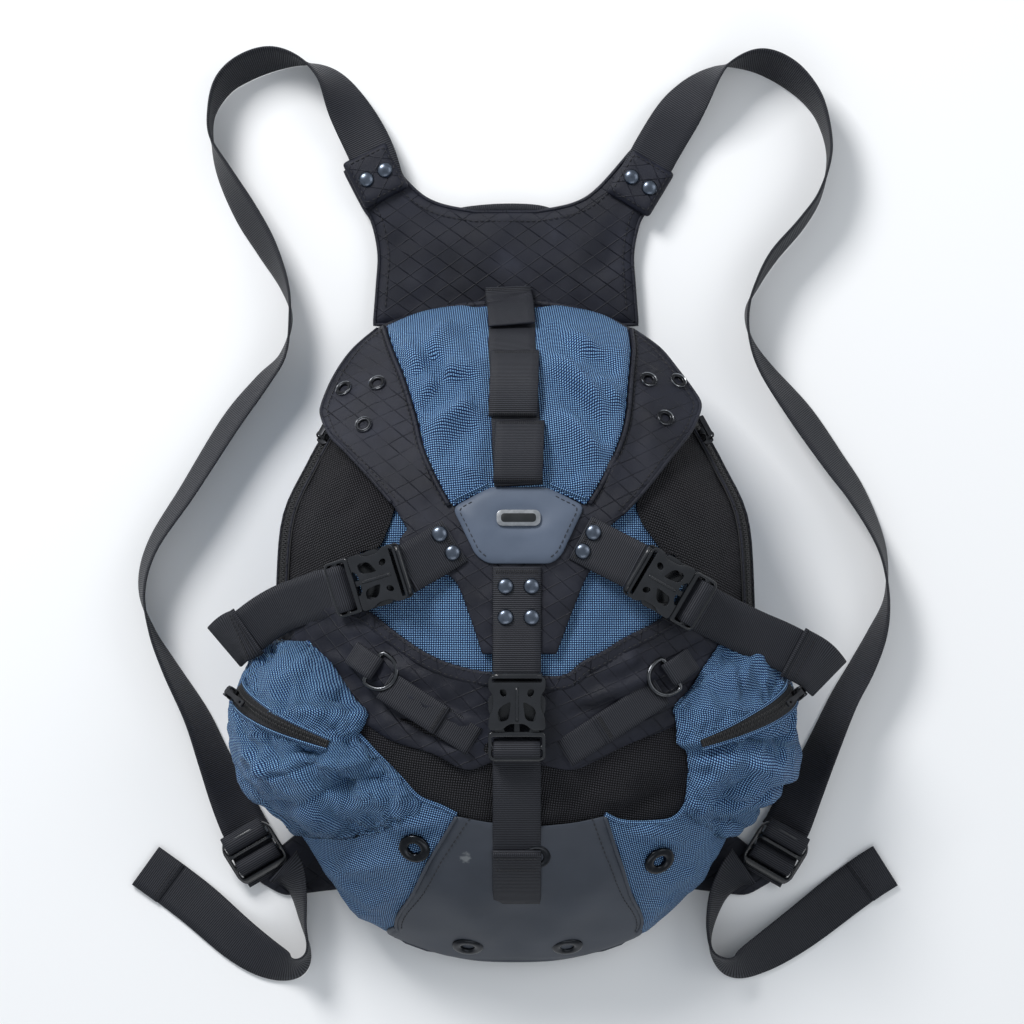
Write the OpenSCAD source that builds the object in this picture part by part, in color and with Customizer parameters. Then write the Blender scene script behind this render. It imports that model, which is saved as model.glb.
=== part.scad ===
/* [Webbing] */
// Width of the shoulder and compression webbing
web_w = 30; // [28:1:32]
// Thickness of the webbing
web_t = 1.6; // [1.2:0.1:1.8]
// Width of the webbing that runs to the two strap rings
ring_web_w = 19; // [16:1:20]

/* [Bag] */
// Height of the bag's front above its back face
bag_h = 128; // [122:1:134]
// Thickness of the fabric panels with their lining
fabric_t = 2.4; // [2:0.1:3]
// Thickness of the foam back panel
foam_t = 12; // [10:1:12]
// Greatest thickness of a side pocket when filled
pod_bulge = 31; // [20:1:34]
// Clearance under each layer that lies on the bag's front
layer_gap = 2.6; // [2.4:0.1:3]

/* [Side release buckles] */
// Length of a closed buckle
buckle_len = 53; // [50:1:56]
// Width of a buckle
buckle_w = 36; // [35:1:38]
// Thickness of a buckle
buckle_t = 10; // [9:1:11]

/* [Metal parts] */
// Radius of a rivet's dome
rivet_r = 4.8; // [4:0.1:5]
// Outer radius of the large grommets
grommet_r = 10; // [8:0.5:11]
// Radius of the hole in the large grommets
grommet_hole_r = 4; // [3:0.5:5]
// Outer radius of the small eyelets
eyelet_r = 5.4; // [5:0.1:6]
// Radius of the hole in the small eyelets
eyelet_hole_r = 2.6; // [2:0.1:3]
// Radius of the wire in the strap rings
ring_wire_r = 1.5; // [1.2:0.1:1.6]

/* [Hidden] */
$fn = 32;

// ---- Curves -------------------------------------------------------------------------------
function mix(a, b, t) = a + (b - a) * t;
function unit(v) = v / norm(v);
function curve_point(a, b, c, d, t) =
    0.5 * (2 * b + (c - a) * t + (2 * a - 5 * b + 4 * c - d) * t * t + (3 * b - a - 3 * c + d) * t * t * t);
// A smooth line through the points p, with n steps between each two of them
function smooth(p, n) = [
    for (i = [0 : len(p) - 2], k = [0 : n - 1])
        curve_point(p[max(i - 1, 0)], p[i], p[i + 1], p[min(i + 2, len(p) - 1)], k / n),
    p[len(p) - 1]];

// Half width of the bag, height of its middle and height of its rim, each against y
half_widths = smooth([
    [-284, 24], [-278, 52], [-264, 84], [-240, 110], [-205, 132], [-160, 146], [-100, 150], [-40, 149],
    [0, 145], [30, 131], [52, 119], [75, 105], [100, 87], [118, 66], [128, 44], [133, 24]], 4);
crowns = smooth([
    [-284, 15], [-275, 32], [-255, 60], [-225, 90], [-185, 113], [-140, 124], [-90, 128], [-40, 127],
    [0, 122], [40, 110], [80, 88], [105, 66], [122, 42], [133, 22]], 4);
rims = smooth([
    [-284, 13], [-255, 24], [-205, 40], [-150, 50], [-80, 56], [-20, 58], [40, 52], [90, 38], [120, 24],
    [133, 16]], 4);
h_scale = bag_h / 128;
function half_width(y) = lookup(y, half_widths);
function crown(y) = lookup(y, crowns) * h_scale;
function rim(y) = lookup(y, rims);
function arch(f, p) = pow(max(1 - pow(min(abs(f), 1), p), 0), 0.6);
// Height of the bag's front
function front_z(x, y) = rim(y) + (crown(y) - rim(y)) * arch(x / half_width(y), 2.5);
// Height of the lid, which is stiffer and stands out past the bag's shoulders
lid_over = 26;
function lid_z(x, y) =
    rim(y) + 5 + (crown(y) - rim(y) - 5 + layer_gap) * arch(x / (half_width(y) + lid_over), 2.4);

// ---- Solids from grids of points ------------------------------------------------------------
function grid_faces(rows, cols, first, up) = [
    for (i = [0 : rows - 2], j = [0 : cols - 2], half = [0, 1])
        let (a = first + i * cols + j, b = a + 1, c = b + cols, d = a + cols,
             f = half == 0 ? [a, b, c] : [a, c, d])
        up ? [f[2], f[1], f[0]] : f];
function rim_path(rows, cols) = concat(
    [for (j = [0 : cols - 1]) j],
    [for (i = [1 : rows - 1]) i * cols + cols - 1],
    [for (j = [cols - 2 : -1 : 0]) (rows - 1) * cols + j],
    [for (i = [rows - 2 : -1 : 1]) i * cols]);
// The solid between two grids of points, which have the same rows and columns
module slab(lower, upper) {
    rows = len(lower);
    cols = len(lower[0]);
    count = rows * cols;
    edge = rim_path(rows, cols);
    walls = [
        for (k = [0 : len(edge) - 1], half = [0, 1])
            let (a = edge[k], b = edge[(k + 1) % len(edge)])
            half == 0 ? [a, b + count, b] : [a, a + count, b + count]];
    points = concat([for (r = lower, p = r) p], [for (r = upper, p = r) p]);
    faces = concat(grid_faces(rows, cols, 0, false), grid_faces(rows, cols, count, true), walls);
    // Left-handed grids are turned inside out
    v = cross(lower[0][1] - lower[0][0], lower[1][0] - lower[0][0]) * (upper[0][0] - lower[0][0]);
    polyhedron(points, v > 0 ? [for (f = faces) [f[2], f[1], f[0]]] : faces, convexity = 6);
}

// A layer on the bag's front or its lid. rows is a list of [y, left x, right x]
module front_layer(rows, low, high, cols = 8, on_lid = false) {
    function pt(r, j, lift) =
        let (x = mix(r[1], r[2], j / cols))
        [x, r[0], (on_lid ? lid_z(x, r[0]) : front_z(x, r[0])) + lift];
    slab([for (r = rows) [for (j = [0 : cols]) pt(r, j, low)]],
         [for (r = rows) [for (j = [0 : cols]) pt(r, j, high)]]);
}

// A length of webbing. Each point is [x, y, lean, height of its lower edge]; lean 90 stands on edge
module webbing(route, width, thick, steps = 3) {
    p = smooth(route, steps);
    n = len(p);
    function along(i) =
        let (a = p[max(i - 1, 0)], b = p[min(i + 1, n - 1)]) unit([b[0] - a[0], b[1] - a[1], b[3] - a[3]]);
    function across(i) =
        let (t = along(i), s = unit([-t[1], t[0], 0])) s * cos(p[i][2]) + [0, 0, sin(p[i][2])];
    function middle(i) =
        [p[i][0], p[i][1], p[i][3] + width / 2 * abs(sin(p[i][2])) + thick / 2 * abs(cos(p[i][2]))];
    function corner(i, side, face) =
        middle(i) + across(i) * side * width / 2 + unit(cross(along(i), across(i))) * face * thick / 2;
    slab([for (i = [0 : n - 1]) [for (s = [-1, 1]) corner(i, s, -1)]],
         [for (i = [0 : n - 1]) [for (s = [-1, 1]) corner(i, s, 1)]]);
}

// ---- Bag section: u is 0 on the middle line, 1 on the rim and 1.5 at the back panel ---------
wall_slope = 18;
wall_foot = foam_t + 0.6;
function bag_point(u, y, inset) =
    let (s = sign(u), a = abs(u), w = half_width(y) - inset)
    a <= 1
    ? let (f = sin(90 * a)) [s * w * f, y, rim(y) + (crown(y) - inset - rim(y)) * arch(f, 2.5)]
    : let (t = (a - 1) * 2)
        [s * (w - wall_slope * t * half_width(y) / 150), y, mix(rim(y), min(wall_foot, rim(y) - 1), t)];
bag_rows = [-282, -272, -258, -240, -218, -195, -165, -135, -105, -75, -45, -15, 15, 45, 70, 92, 110,
    122, 131];
bag_cols = [0, 0.22, 0.42, 0.6, 0.76, 0.9, 1, 1.5];
function from_to(list, low, high) = [for (v = list) if (v >= low - 0.001 && v <= high + 0.001) v];
function both_sides(cols) = concat([for (i = [len(cols) - 1 : -1 : 1]) -cols[i]], cols);
module bag_panel(cols, y_low, y_high) {
    rows = from_to(bag_rows, y_low, y_high);
    slab([for (y = rows) [for (u = cols) bag_point(u, y, fabric_t)]],
         [for (y = rows) [for (u = cols) bag_point(u, y, 0)]]);
}

// ---- Panels of the bag ------------------------------------------------------------------------
module side_wall(side) { color([0.16, 0.3, 0.52]) for_side(side) bag_panel([1, 1.5], -282, 131); }
module upper_front() {
    color([0.16, 0.3, 0.52])
        bag_panel(both_sides(from_to(bag_cols, 0, 0.76)), -75, 131);
}
module mesh_side(side) {
    color([0.1, 0.1, 0.1])
        for_side(side) bag_panel(from_to(bag_cols, 0.76, 1), -75, 131);
}
module bib() { color([0.09, 0.09, 0.11]) bag_panel(both_sides(from_to(bag_cols, 0, 1)), -135, -75); }
module bib_mesh() { color([0.1, 0.1, 0.1]) bag_panel(both_sides(from_to(bag_cols, 0, 0.6)), -195, -135); }
module rubber_boot() {
    color([0.13, 0.14, 0.15])
        bag_panel(both_sides(from_to(bag_cols, 0, 0.6)), -282, -195);
}
module lower_side(side) {
    color([0.16, 0.3, 0.52])
        for_side(side) bag_panel(from_to(bag_cols, 0.6, 1), -282, -135);
}

// ---- Back ------------------------------------------------------------------------------------
function back_outline(shrink) = let (ys = from_to(bag_rows, -272, 122)) concat(
    [for (y = ys) [half_width(y) * 0.84 - shrink, y]],
    [for (i = [len(ys) - 1 : -1 : 0]) [-half_width(ys[i]) * 0.84 + shrink, ys[i]]]);
pad_t = 3;
module back_panel() {
    color("dimgray")
        translate([0, 0, pad_t]) linear_extrude(foam_t - pad_t) polygon(back_outline(0));
}
module pad(x, y, w, l) {
    color("black") translate([x, y, 0]) linear_extrude(pad_t)
        offset(r = 10) square([w - 20, l - 20], center = true);
}
module lumbar_pad() { pad(0, -190, 170, 90); }
module spine_pad_left() { pad(-45, -10, 66, 240); }
module spine_pad_right() { pad(45, -10, 66, 240); }
module frame_sheet() {
    color("lightgray")
        translate([0, 0, foam_t + 0.3]) linear_extrude(1.5)
            polygon([for (p = back_outline(26)) [p[0], p[1] * 0.92]]);
}

// ---- Yoke and horns --------------------------------------------------------------------------
yoke_x = -6;
yoke_low = 4;
yoke_high = 12;
yoke_half = [[85, 124], [83, 150], [82, 170], [86, 190], [92, 200], [104, 223], [82, 237], [60, 212],
    [44, 202], [20, 197]];
module yoke() {
    color([0.1, 0.1, 0.12]) translate([yoke_x, 0, yoke_low]) linear_extrude(yoke_high - yoke_low)
        polygon(concat(yoke_half, [for (i = [len(yoke_half) - 1 : -1 : 0]) [-yoke_half[i][0],
            yoke_half[i][1]]]));
}
module haul_loop() {
    color("black") webbing([[-46, 190, 0, 0.6], [-30, 194, 0, 0.6], [-8, 196, 0, 0.6],
        [14, 194, 0, 0.6], [28, 190, 0, 0.6]],
        20, web_t + 0.6);
}
horn_patch_t = 1.4;
patch_low = yoke_high + web_t + 1.8;
// Horn patches: one corner and the turn of each
horn_places = [[-91, 222, 27], [82, 217, -31]];
module horn_patches() {
    color([0.12, 0.12, 0.14]) for (h = horn_places)
        translate([h[0], h[1], patch_low]) rotate([0, 0, h[2]])
            translate([-14.5, -17, 0]) cube([29, 30, horn_patch_t]);
}
module dome(r, h) {
    rotate_extrude() intersection() {
        translate([0, h - (r * r + h * h) / (2 * h)]) circle(r = (r * r + h * h) / (2 * h), $fn = 64);
        square([r, h]);
    }
}
module horn_rivets() {
    color([0.5, 0.52, 0.55]) for (h = horn_places, s = [-1, 1])
        translate([h[0], h[1], patch_low + horn_patch_t]) rotate([0, 0, h[2]])
            translate([s * 6.7, -2, 0]) dome(rivet_r, 2.6);
}

// ---- Shoulder straps -------------------------------------------------------------------------
// Each point is [x, y, lean, height of the lower edge]
strap_left_route = [
    [-86, 212, 0, 12.4], [-93, 235, 0, 12.4], [-107, 262, 25, 7], [-120, 283, 60, 2], [-136, 293, 88, 0.4],
    [-156, 295.5, 114, 0.4], [-174, 290, 119, 0.4], [-188, 279, 110, 0.4], [-196, 261, 94, 0.4],
    [-196, 243, 88, 0.4], [-188, 222, 70, 0.4], [-174, 196, 58, 0.4], [-161, 174, 62, 0.4],
    [-149, 149, 78, 0.4], [-145, 128, 89, 0.4], [-150, 104, 80, 0.4], [-164, 86, 68, 0.4],
    [-184, 60, 62, 0.4], [-211, 17, 66, 0.4], [-234, -19, 72, 0.4], [-241, -47, 78, 0.4],
    [-235, -73, 90, 0.4], [-223, -98, 104, 0.4], [-206, -129, 118, 0.4], [-195, -156, 126, 1],
    [-184, -186, 142, 3]];
strap_right_route = [
    [78, 209, 0, 12.4], [88, 230, 0, 12.4], [102, 254, -8, 9], [114, 271, -34, 3], [127, 285, -66, 0.4],
    [139, 292, -89, 0.4], [158, 294, -115, 0.4], [175, 287, -120, 0.4], [190, 273, -110, 0.4],
    [199, 256, -98, 0.4], [203, 233, -90, 0.4], [197, 208, -84, 0.4], [185, 189, -79, 0.4],
    [167, 168, -78, 0.4], [156, 149, -84, 0.4], [150, 133, -90, 0.4], [152, 115, -84, 0.4],
    [162, 95, -70, 0.4], [185, 65, -55, 0.4], [206, 35, -57, 0.4], [220, 15, -62, 0.4],
    [233, -10, -72, 0.4], [239, -30, -80, 0.4], [240, -54, -90, 0.4], [234, -76, -108, 0.4],
    [224, -98, -118, 0.4], [212, -120, -122, 0.4], [197, -154, -130, 1], [185, -184, -142, 3]];
tail_left_route = [
    [-150, -226, 20, 6], [-145, -231, 44, 5], [-140, -243, 66, 3.4], [-137, -262, 80, 0.6],
    [-134, -281, 92, 0.4], [-142, -291, 124, 0.4], [-158, -288, 150, 0.4], [-178, -276, 168, 0.4],
    [-204, -254, 179, 0.4], [-222, -240, 180, 0.4], [-240, -227, 180, 0.4]];
tail_right_route = [
    [148, -226, -20, 6], [140, -232, -44, 5], [131, -245, -64, 3.4], [126, -266, -80, 0.6],
    [128, -282, -94, 0.4], [141, -291, -124, 0.4], [159, -284, -148, 0.4], [184, -268, -166, 0.4],
    [213, -246, -179, 0.4], [228, -235, -180, 0.4], [240.5, -227, -180, 0.4]];
module strap(route) { color([0.13, 0.13, 0.14]) webbing(route, web_w, web_t); }

// ---- Ladder locks: each is [x, y, turn, tilt]; local +X runs from the bag to the strap --------
lock_places = [[-161, -231, 120, 16], [161, -231, 60, 16]];
lock_len = 34;
lock_lift = 3.4;
module lock_frame(side) {
    p = lock_places[side];
    translate([p[0], p[1], lock_lift]) rotate([0, 0, p[2]]) rotate([0, -p[3], 0]) children();
}
module ladder_lock(side) {
    color([0.08, 0.08, 0.09]) lock_frame(side) difference() {
        translate([0, -buckle_w / 2, 0]) cube([lock_len, buckle_w, 6]);
        for (x = [5, 14.5, 24]) translate([x, -web_w / 2 - 0.6, -1]) cube([6, web_w + 1.2, 8]);
    }
}
module lower_wing(side) {
    s = side == 0 ? -1 : 1;
    color([0.1, 0.1, 0.12]) translate([0, 0, 0.4]) linear_extrude(2.2)
        polygon([for (p = [[96, -200], [128, -196], [158, -220], [168, -236], [150, -246],
            [100, -240]]) [s * p[0], p[1]]]);
}

// ---- Side pockets ----------------------------------------------------------------------------
pod_rows = [-204, -196, -184, -170, -154, -138, -122, -108, -96, -86, -78];
pod_steps = 10;
pod_outer_u = 1.4;
// The pocket's inner edge draws back near its top
function pod_inner_u(y) = 0.46 + 0.16 * max(0, min(1, (y + 112) / 20));
function pod_u(j, y) = mix(pod_inner_u(y), pod_outer_u, j / pod_steps);
pod_gap = 1.6;
function pod_dir(u) = let (a = mix(72, -12, min(max((u - 0.55) / 0.75, 0), 1))) [cos(a), sin(a)];
function pod_fill(u, y) =
    let (a = (u - pod_inner_u(y)) / (pod_outer_u - pod_inner_u(y)), b = (y + 204) / 126)
    pod_bulge * pow(max(sin(180 * a), 0), 0.8) * pow(max(sin(180 * b), 0), 0.6);
// A point over the pocket's place; lift 0 is under the pocket and fill 1 is on its outer face
function pod_point(u, y, fill, lift) =
    let (b = bag_point(u, y, 0), d = pod_dir(u), off = pod_gap + fill * (2 + pod_fill(u, y)) + lift)
    [b[0] + d[0] * off, y, b[2] + d[1] * off];
module for_side(side) { mirror([side == 0 ? 1 : 0, 0, 0]) children(); }
module pod(side) {
    color([0.16, 0.3, 0.52]) for_side(side)
        slab([for (y = pod_rows) [for (j = [0 : pod_steps]) pod_point(pod_u(j, y), y, 0, 0)]],
             [for (y = pod_rows) [for (j = [0 : pod_steps]) pod_point(pod_u(j, y), y, 1, 0)]]);
}
// The pocket's zip runs from its outer end, s = 0, to its inner end, s = 1
zip_w = 11;
function zip_point(s, side_step, lift) = pod_point(mix(0.98, 0.54, s),
    mix(-106, -141, s) + side_step, 1, lift);
module pod_zip(side) {
    color([0.1, 0.1, 0.1]) for_side(side)
        slab([for (k = [0 : 10]) [for (w = [-0.5, 0, 0.5]) zip_point(k / 10, w * zip_w, 0.6)]],
             [for (k = [0 : 10]) [for (w = [-0.5, 0, 0.5]) zip_point(k / 10, w * zip_w, 2.2)]]);
}

// ---- Zip sliders: local +X is the way the slider travels, +Z is away from the bag -------------
slider_len = 11;
slider_w = 8;
slider_lift = 4.8;
pod_slider_lift = 5.25;
// Turns local X onto the direction d, with local Z as near to up as it can be
module aim(at, d) {
    translate(at) rotate([0, -asin(d[2]), atan2(d[1], d[0])]) children();
}
pod_zip_from = zip_point(0.16, 0, pod_slider_lift);
pod_zip_dir = unit(zip_point(0.5, 0, pod_slider_lift) - pod_zip_from);
module slider_body() {
    color([0.2, 0.2, 0.21]) difference() {
        translate([-slider_len / 2, -slider_w / 2, 0]) cube([slider_len, slider_w, 2.4]);
        translate([0, 0, -1]) cylinder(r = 0.8, h = 5);
    }
    color([0.2, 0.2, 0.21]) for (s = [-1, 1]) difference() {
        translate([-1.5, s * 2.9 - 0.6, 2.4]) cube([4.4, 1.2, 4]);
        translate([1, s * 2.9 - 1, 4.6]) rotate([-90, 0, 0]) cylinder(r = 0.85, h = 2);
    }
}
module pull_tab() {
    color([0.24, 0.24, 0.25]) {
        translate([1, -3.7, 4.6]) rotate([-90, 0, 0]) cylinder(r = 0.8, h = 7.4);
        difference() {
            translate([1.2, -2, 3.9]) cube([20, 4, 1.4]);
            translate([17.5, 0, 3]) cylinder(r = 1.1, h = 4);
        }
    }
}
module pod_slider(side) { for_side(side) aim(pod_zip_from, pod_zip_dir) slider_body(); }
module pod_pull(side) { for_side(side) aim(pod_zip_from, pod_zip_dir) pull_tab(); }

// ---- Main zip round the upper bag --------------------------------------------------------------
main_zip_us = [0.82, 0.85, 0.88];
main_zip_rows = [-58, -45, -30, -15, 0, 15, 30, 45, 58];
function main_zip_point(u, y, lift) = let (b = bag_point(u, y, 0)) b + unit([b[0] * 0.75, 0, 130]) * lift;
module main_zip(side) {
    color([0.1, 0.1, 0.1]) for_side(side)
        slab([for (y = main_zip_rows) [for (u = main_zip_us) main_zip_point(u, y, 0.7)]],
             [for (y = main_zip_rows) [for (u = main_zip_us) main_zip_point(u, y, 2.2)]]);
}
main_slide_from = main_zip_point(0.85, 50, slider_lift);
main_slide_dir = unit(main_zip_point(0.85, 24, slider_lift) - main_slide_from);
// Turn of the main zip's slider about its travel, so that it sits flat on the bag's shoulder
main_zip_roll = -34;
module zip_slider(side) {
    for_side(side) aim(main_slide_from, main_slide_dir) rotate([main_zip_roll, 0, 0]) {
        slider_body();
        pull_tab_fixed();
    }
}
module pull_tab_fixed() {
    color([0.24, 0.24, 0.25]) translate([-12, -2, 6.4]) cube([14, 4, 1.2]);
}

// ---- Grommets and eyelets ------------------------------------------------------------------------
function front_normal(x, y) = unit([front_z(x - 1, y) - front_z(x + 1, y),
    front_z(x, y - 1) - front_z(x, y + 1), 2]);
function lid_normal(x, y) = unit([lid_z(x - 1, y) - lid_z(x + 1, y), lid_z(x, y - 1) - lid_z(x, y + 1), 2]);
module stand_on(at, n) { translate(at) rotate([0, acos(n[2]), atan2(n[1], n[0])]) children(); }
module grommet(r, hole, t) {
    rotate_extrude() difference() {
        union() {
            translate([hole, 0]) square([r - hole - t / 2, t]);
            translate([r - t / 2, t / 2]) circle(d = t);
        }
        translate([0, -1]) square([hole, t + 2]);
    }
}
module grommets_at(places, r, hole) {
    color([0.12, 0.12, 0.13]) for (p = places)
        stand_on([p[0], p[1], front_z(p[0], p[1])] + front_normal(p[0], p[1]) * 0.5,
            front_normal(p[0], p[1]))
            grommet(r, hole, 1.8);
}
module boot_grommets() { grommets_at([[-30, -271], [33, -271]], grommet_r, grommet_hole_r); }
module side_grommets() { grommets_at([[-62, -206], [88, -216]], grommet_r, grommet_hole_r); }

// ---- Lid -----------------------------------------------------------------------------------------
lid_t = 1.6;
panel_top = lid_t + 2.6;
lid_base_rows = [
    [130, -40, 36], [124, -72, 62], [116, -90, 80], [104, -104, 92], [88, -115, 103], [72, -121, 114],
    [60, -120, 115], [48, -114, 107], [36, -105, 97], [20, -87, 82], [5, -74, 72], [-14, -56, 57],
    [-32, -38, 44], [-58, -29, 34], [-84, -20, 25]];
module lid_base() {
    color([0.09, 0.09, 0.11]) front_layer(lid_base_rows, 0, lid_t, 12, true);
}
module lid_panel() {
    color([0.16, 0.3, 0.52])
        front_layer([[130, -34, 30], [124, -62, 54], [116, -74, 67], [104, -76, 71], [88, -71, 70],
            [72, -65, 69],
            [60, -61, 67], [48, -58, 63], [36, -54, 59], [20, -46, 49]], lid_t + 1, panel_top, 12, true);
}
module lid_seam() {
    color("black") translate([-52, 133, 14.5]) cube([100, 5, 3]);
}
plate_low = lid_t + 0.8;
plate_t = 2.4;
module rubber_plate() {
    color([0.16, 0.18, 0.2])
        front_layer([[17, -15, 19], [11, -26, 30], [5, -38, 42], [-10, -32, 36], [-26, -23, 26],
            [-29, -17, 22]],
            plate_low, plate_low + plate_t, 8, true);
}
badge_at = [2, -2];
module badge() {
    n = lid_normal(badge_at[0], badge_at[1]);
    color([0.45, 0.46, 0.48])
        stand_on([badge_at[0], badge_at[1], lid_z(badge_at[0], badge_at[1]) + plate_low + plate_t + 0.3], n)
        rotate([0, 0, 90 - atan2(n[1], n[0]) - 90]) linear_extrude(1.6)
        offset(r = 2) square([24, 7], center = true);
}
// Daisy chain: a flat strip with raised loops between its bar tacks
daisy_low = panel_top + 0.4;
daisy_t = 1.5;
loop_rise = 9;
loop_spans = [[102, 62], [60, 22]];
module daisy_chain() {
    color([0.12, 0.12, 0.13]) {
        front_layer([for (y = [124, 114, 104, 92, 80, 68, 56, 44, 32, 19]) [y, -15, 15]],
            daisy_low, daisy_low + daisy_t, 3, true);
        for (s = loop_spans) daisy_loop(s[0], s[1]);
    }
}
module daisy_loop(y_from, y_to) {
    steps = 10;
    function rise(k) = loop_rise * pow(max(sin(180 * k / steps), 0), 0.5);
    function pt(k, x, lift) = let (y = mix(y_from, y_to, k / steps))
        [x, y, lid_z(x, y) + daisy_low + daisy_t + 0.05 + rise(k) + lift];
    slab([for (k = [0 : steps]) [for (x = [-15, 0, 15]) pt(k, x, 0)]],
         [for (k = [0 : steps]) [for (x = [-15, 0, 15]) pt(k, x, daisy_t)]]);
}
eyelet_places = [[-94, 56], [-107, 79], [-86, 82], [93, 60], [83, 84], [97, 88]];
module wing_eyelets() {
    color([0.6, 0.6, 0.62]) for (p = eyelet_places) let (n = lid_normal(p[0], p[1]))
        stand_on([p[0], p[1], lid_z(p[0], p[1]) + lid_t] + n * 0.6, n)
            grommet(eyelet_r, eyelet_hole_r, 1.4);
}

// ---- Buckles: each is [inner end, outer end]; local +X runs out along the strap ---------------------
buckle_ends = [
    [[-66, -32, 133.4], [-111, -46, 110]],
    [[73, -31, 133.4], [114, -55, 112.5]],
    [[1, -97, 133.8], [1, -150, 131]]];
function buckle_dir(k) = unit(buckle_ends[k][1] - buckle_ends[k][0]);
module buckle_frame(k) { aim(buckle_ends[k][0], buckle_dir(k)) children(); }
housing_len = 34;
wall = 1.8;
cavity_h = buckle_t - 2 * wall;
module housing() {
    difference() {
        translate([0, -buckle_w / 2, 0]) cube([housing_len, buckle_w, buckle_t]);
        translate([6, -buckle_w / 2 + wall, wall]) cube([housing_len, buckle_w - 2 * wall, cavity_h]);
        for (s = [-1, 1]) translate([10, s * buckle_w / 2 - 3, wall]) cube([14, 6, cavity_h]);
        for (s = [-1, 1], w = [[12, 5], [22, 4]])
            translate([w[0], s * 9.5, buckle_t - wall - 1]) cylinder(r = w[1] / 2, h = wall + 2);
        translate([1.4, -web_w / 2 - 0.6, 3.6]) cube([3, web_w + 1.2, buckle_t]);
    }
}
module buckle_housings() {
    color([0.07, 0.07, 0.08]) for (k = [0 : 2]) buckle_frame(k) housing();
}
prong_gap = 0.5;
module plug(k) {
    arm_y = buckle_w / 2 - wall - prong_gap - 4;
    color([0.07, 0.07, 0.08]) buckle_frame(k) {
        difference() {
            translate([housing_len + 0.4, -buckle_w / 2, 1.5])
                cube([buckle_len - housing_len - 0.4, buckle_w, buckle_t - 3]);
            translate([housing_len + 4, -web_w / 2 - 0.6, 0]) cube([5.4, web_w + 1.2, buckle_t]);
            translate([housing_len + 11.4, -web_w / 2 - 0.6, 0]) cube([5.4, web_w + 1.2, buckle_t]);
        }
        for (s = [-1, 1]) translate([11, s * (arm_y + 2) - 2, wall + prong_gap])
            cube([housing_len - 10, 4, cavity_h - 2 * prong_gap]);
        translate([14, -2, wall + 1.6]) cube([housing_len - 13, 4, cavity_h - 3.2]);
    }
}
// Webbing from the lid to each housing
stub_routes = [
    [[-37, -15, 0, 129.6], [-50, -23, 0, 130.6], [-63, -30.5, 0, 132.2]],
    [[40, -13, 0, 129.6], [54, -20.5, 0, 130.6], [69.5, -28.5, 0, 132.2]],
    [[1, -31, 0, 131], [1, -60, 0, 132.4], [1, -93, 0, 133.2]]];
module lid_stubs() {
    color([0.13, 0.13, 0.14]) for (r = stub_routes) webbing(r, web_w, web_t);
}
// Each is [x, y, height of the webbing under it]
rivet_places = [[-46.5, -11, 132], [-38.5, -22.5, 132], [48, -10, 132], [41.5, -21.5, 132],
    [-6, -43, 133.6], [10, -43, 133.6], [-6, -62, 134.4], [10, -62, 134.4]];
module lid_rivets() {
    color([0.5, 0.52, 0.55]) for (p = rivet_places) translate([p[0], p[1], p[2]]) dome(rivet_r, 2.6);
}

// ---- Straps on the bag ------------------------------------------------------------------------------
side_strap_routes = [
    [[-106, -45, 0, 110.5], [-119, -48, 0, 103.6], [-133, -53, 0, 94], [-146, -58, 0, 87],
        [-158, -65, 0, 81],
        [-169, -73, 0, 75], [-178, -82, 8, 66], [-184, -92, 20, 56]],
    [[109, -53, 0, 112], [121, -60, 0, 105.6], [135, -67, 0, 98.4], [150, -74, 0, 93], [164, -80, 0, 87.4],
        [176, -86, 0, 82.4], [188, -93, -8, 74.4], [197, -102, -20, 64]]];
module side_straps() { color([0.13, 0.13, 0.14]) for (r = side_strap_routes) webbing(r, web_w, web_t); }
centre_strap_route = [
    for (y = [-153, -165, -180, -195, -210, -225, -238]) [1, y, 0, front_z(0, y) + 1.2]];
module centre_strap() { color([0.13, 0.13, 0.14]) webbing(centre_strap_route, web_w, web_t, 2); }
// Straps from the two rings to the middle, low under the centre buckle
ring_strap_ends = [[[-80, -104], [-25, -139]], [[90, -108], [30, -146]]];
module ring_strap(e) {
    d = unit(e[1] - e[0]);
    side = [-d[1], d[0]] * ring_web_w / 2;
    function pt(t, s, lift) = let (p = mix(e[0], e[1], t) + side * s)
        [p[0], p[1], front_z(p[0], p[1]) + lift];
    slab([for (k = [0 : 8]) [for (s = [-1, 0, 1]) pt(k / 8, s, 0.9)]],
         [for (k = [0 : 8]) [for (s = [-1, 0, 1]) pt(k / 8, s, 2.3)]]);
}
module ring_straps() { color([0.13, 0.13, 0.14]) for (e = ring_strap_ends) ring_strap(e); }
// Strap rings: a straight bar in a webbing tab and a bow that lies towards the middle
ring_places = [[-88, -93, -33], [97, -97, 213]];
ring_half = 11;
ring_lift = 6;
module ring_frame(side) {
    p = ring_places[side];
    d = [cos(p[2]), sin(p[2])];
    z0 = front_z(p[0], p[1]);
    fall = (front_z(p[0] + d[0] * 14, p[1] + d[1] * 14) - z0) / 14;
    aim([p[0], p[1], z0 + ring_lift], unit([d[0], d[1], fall])) children();
}
module strap_ring(side) {
    color([0.55, 0.56, 0.58]) ring_frame(side) {
        rotate([90, 0, 0]) cylinder(r = ring_wire_r, h = 2 * ring_half, center = true);
        for (s = [-1, 1]) translate([0, s * ring_half, 0]) {
            sphere(r = ring_wire_r);
            rotate([0, 90, 0]) cylinder(r = ring_wire_r, h = 5);
        }
        translate([5, 0, 0]) rotate([0, 0, -90]) rotate_extrude(angle = 180) translate([ring_half, 0])
            circle(r = ring_wire_r);
    }
}
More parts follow.
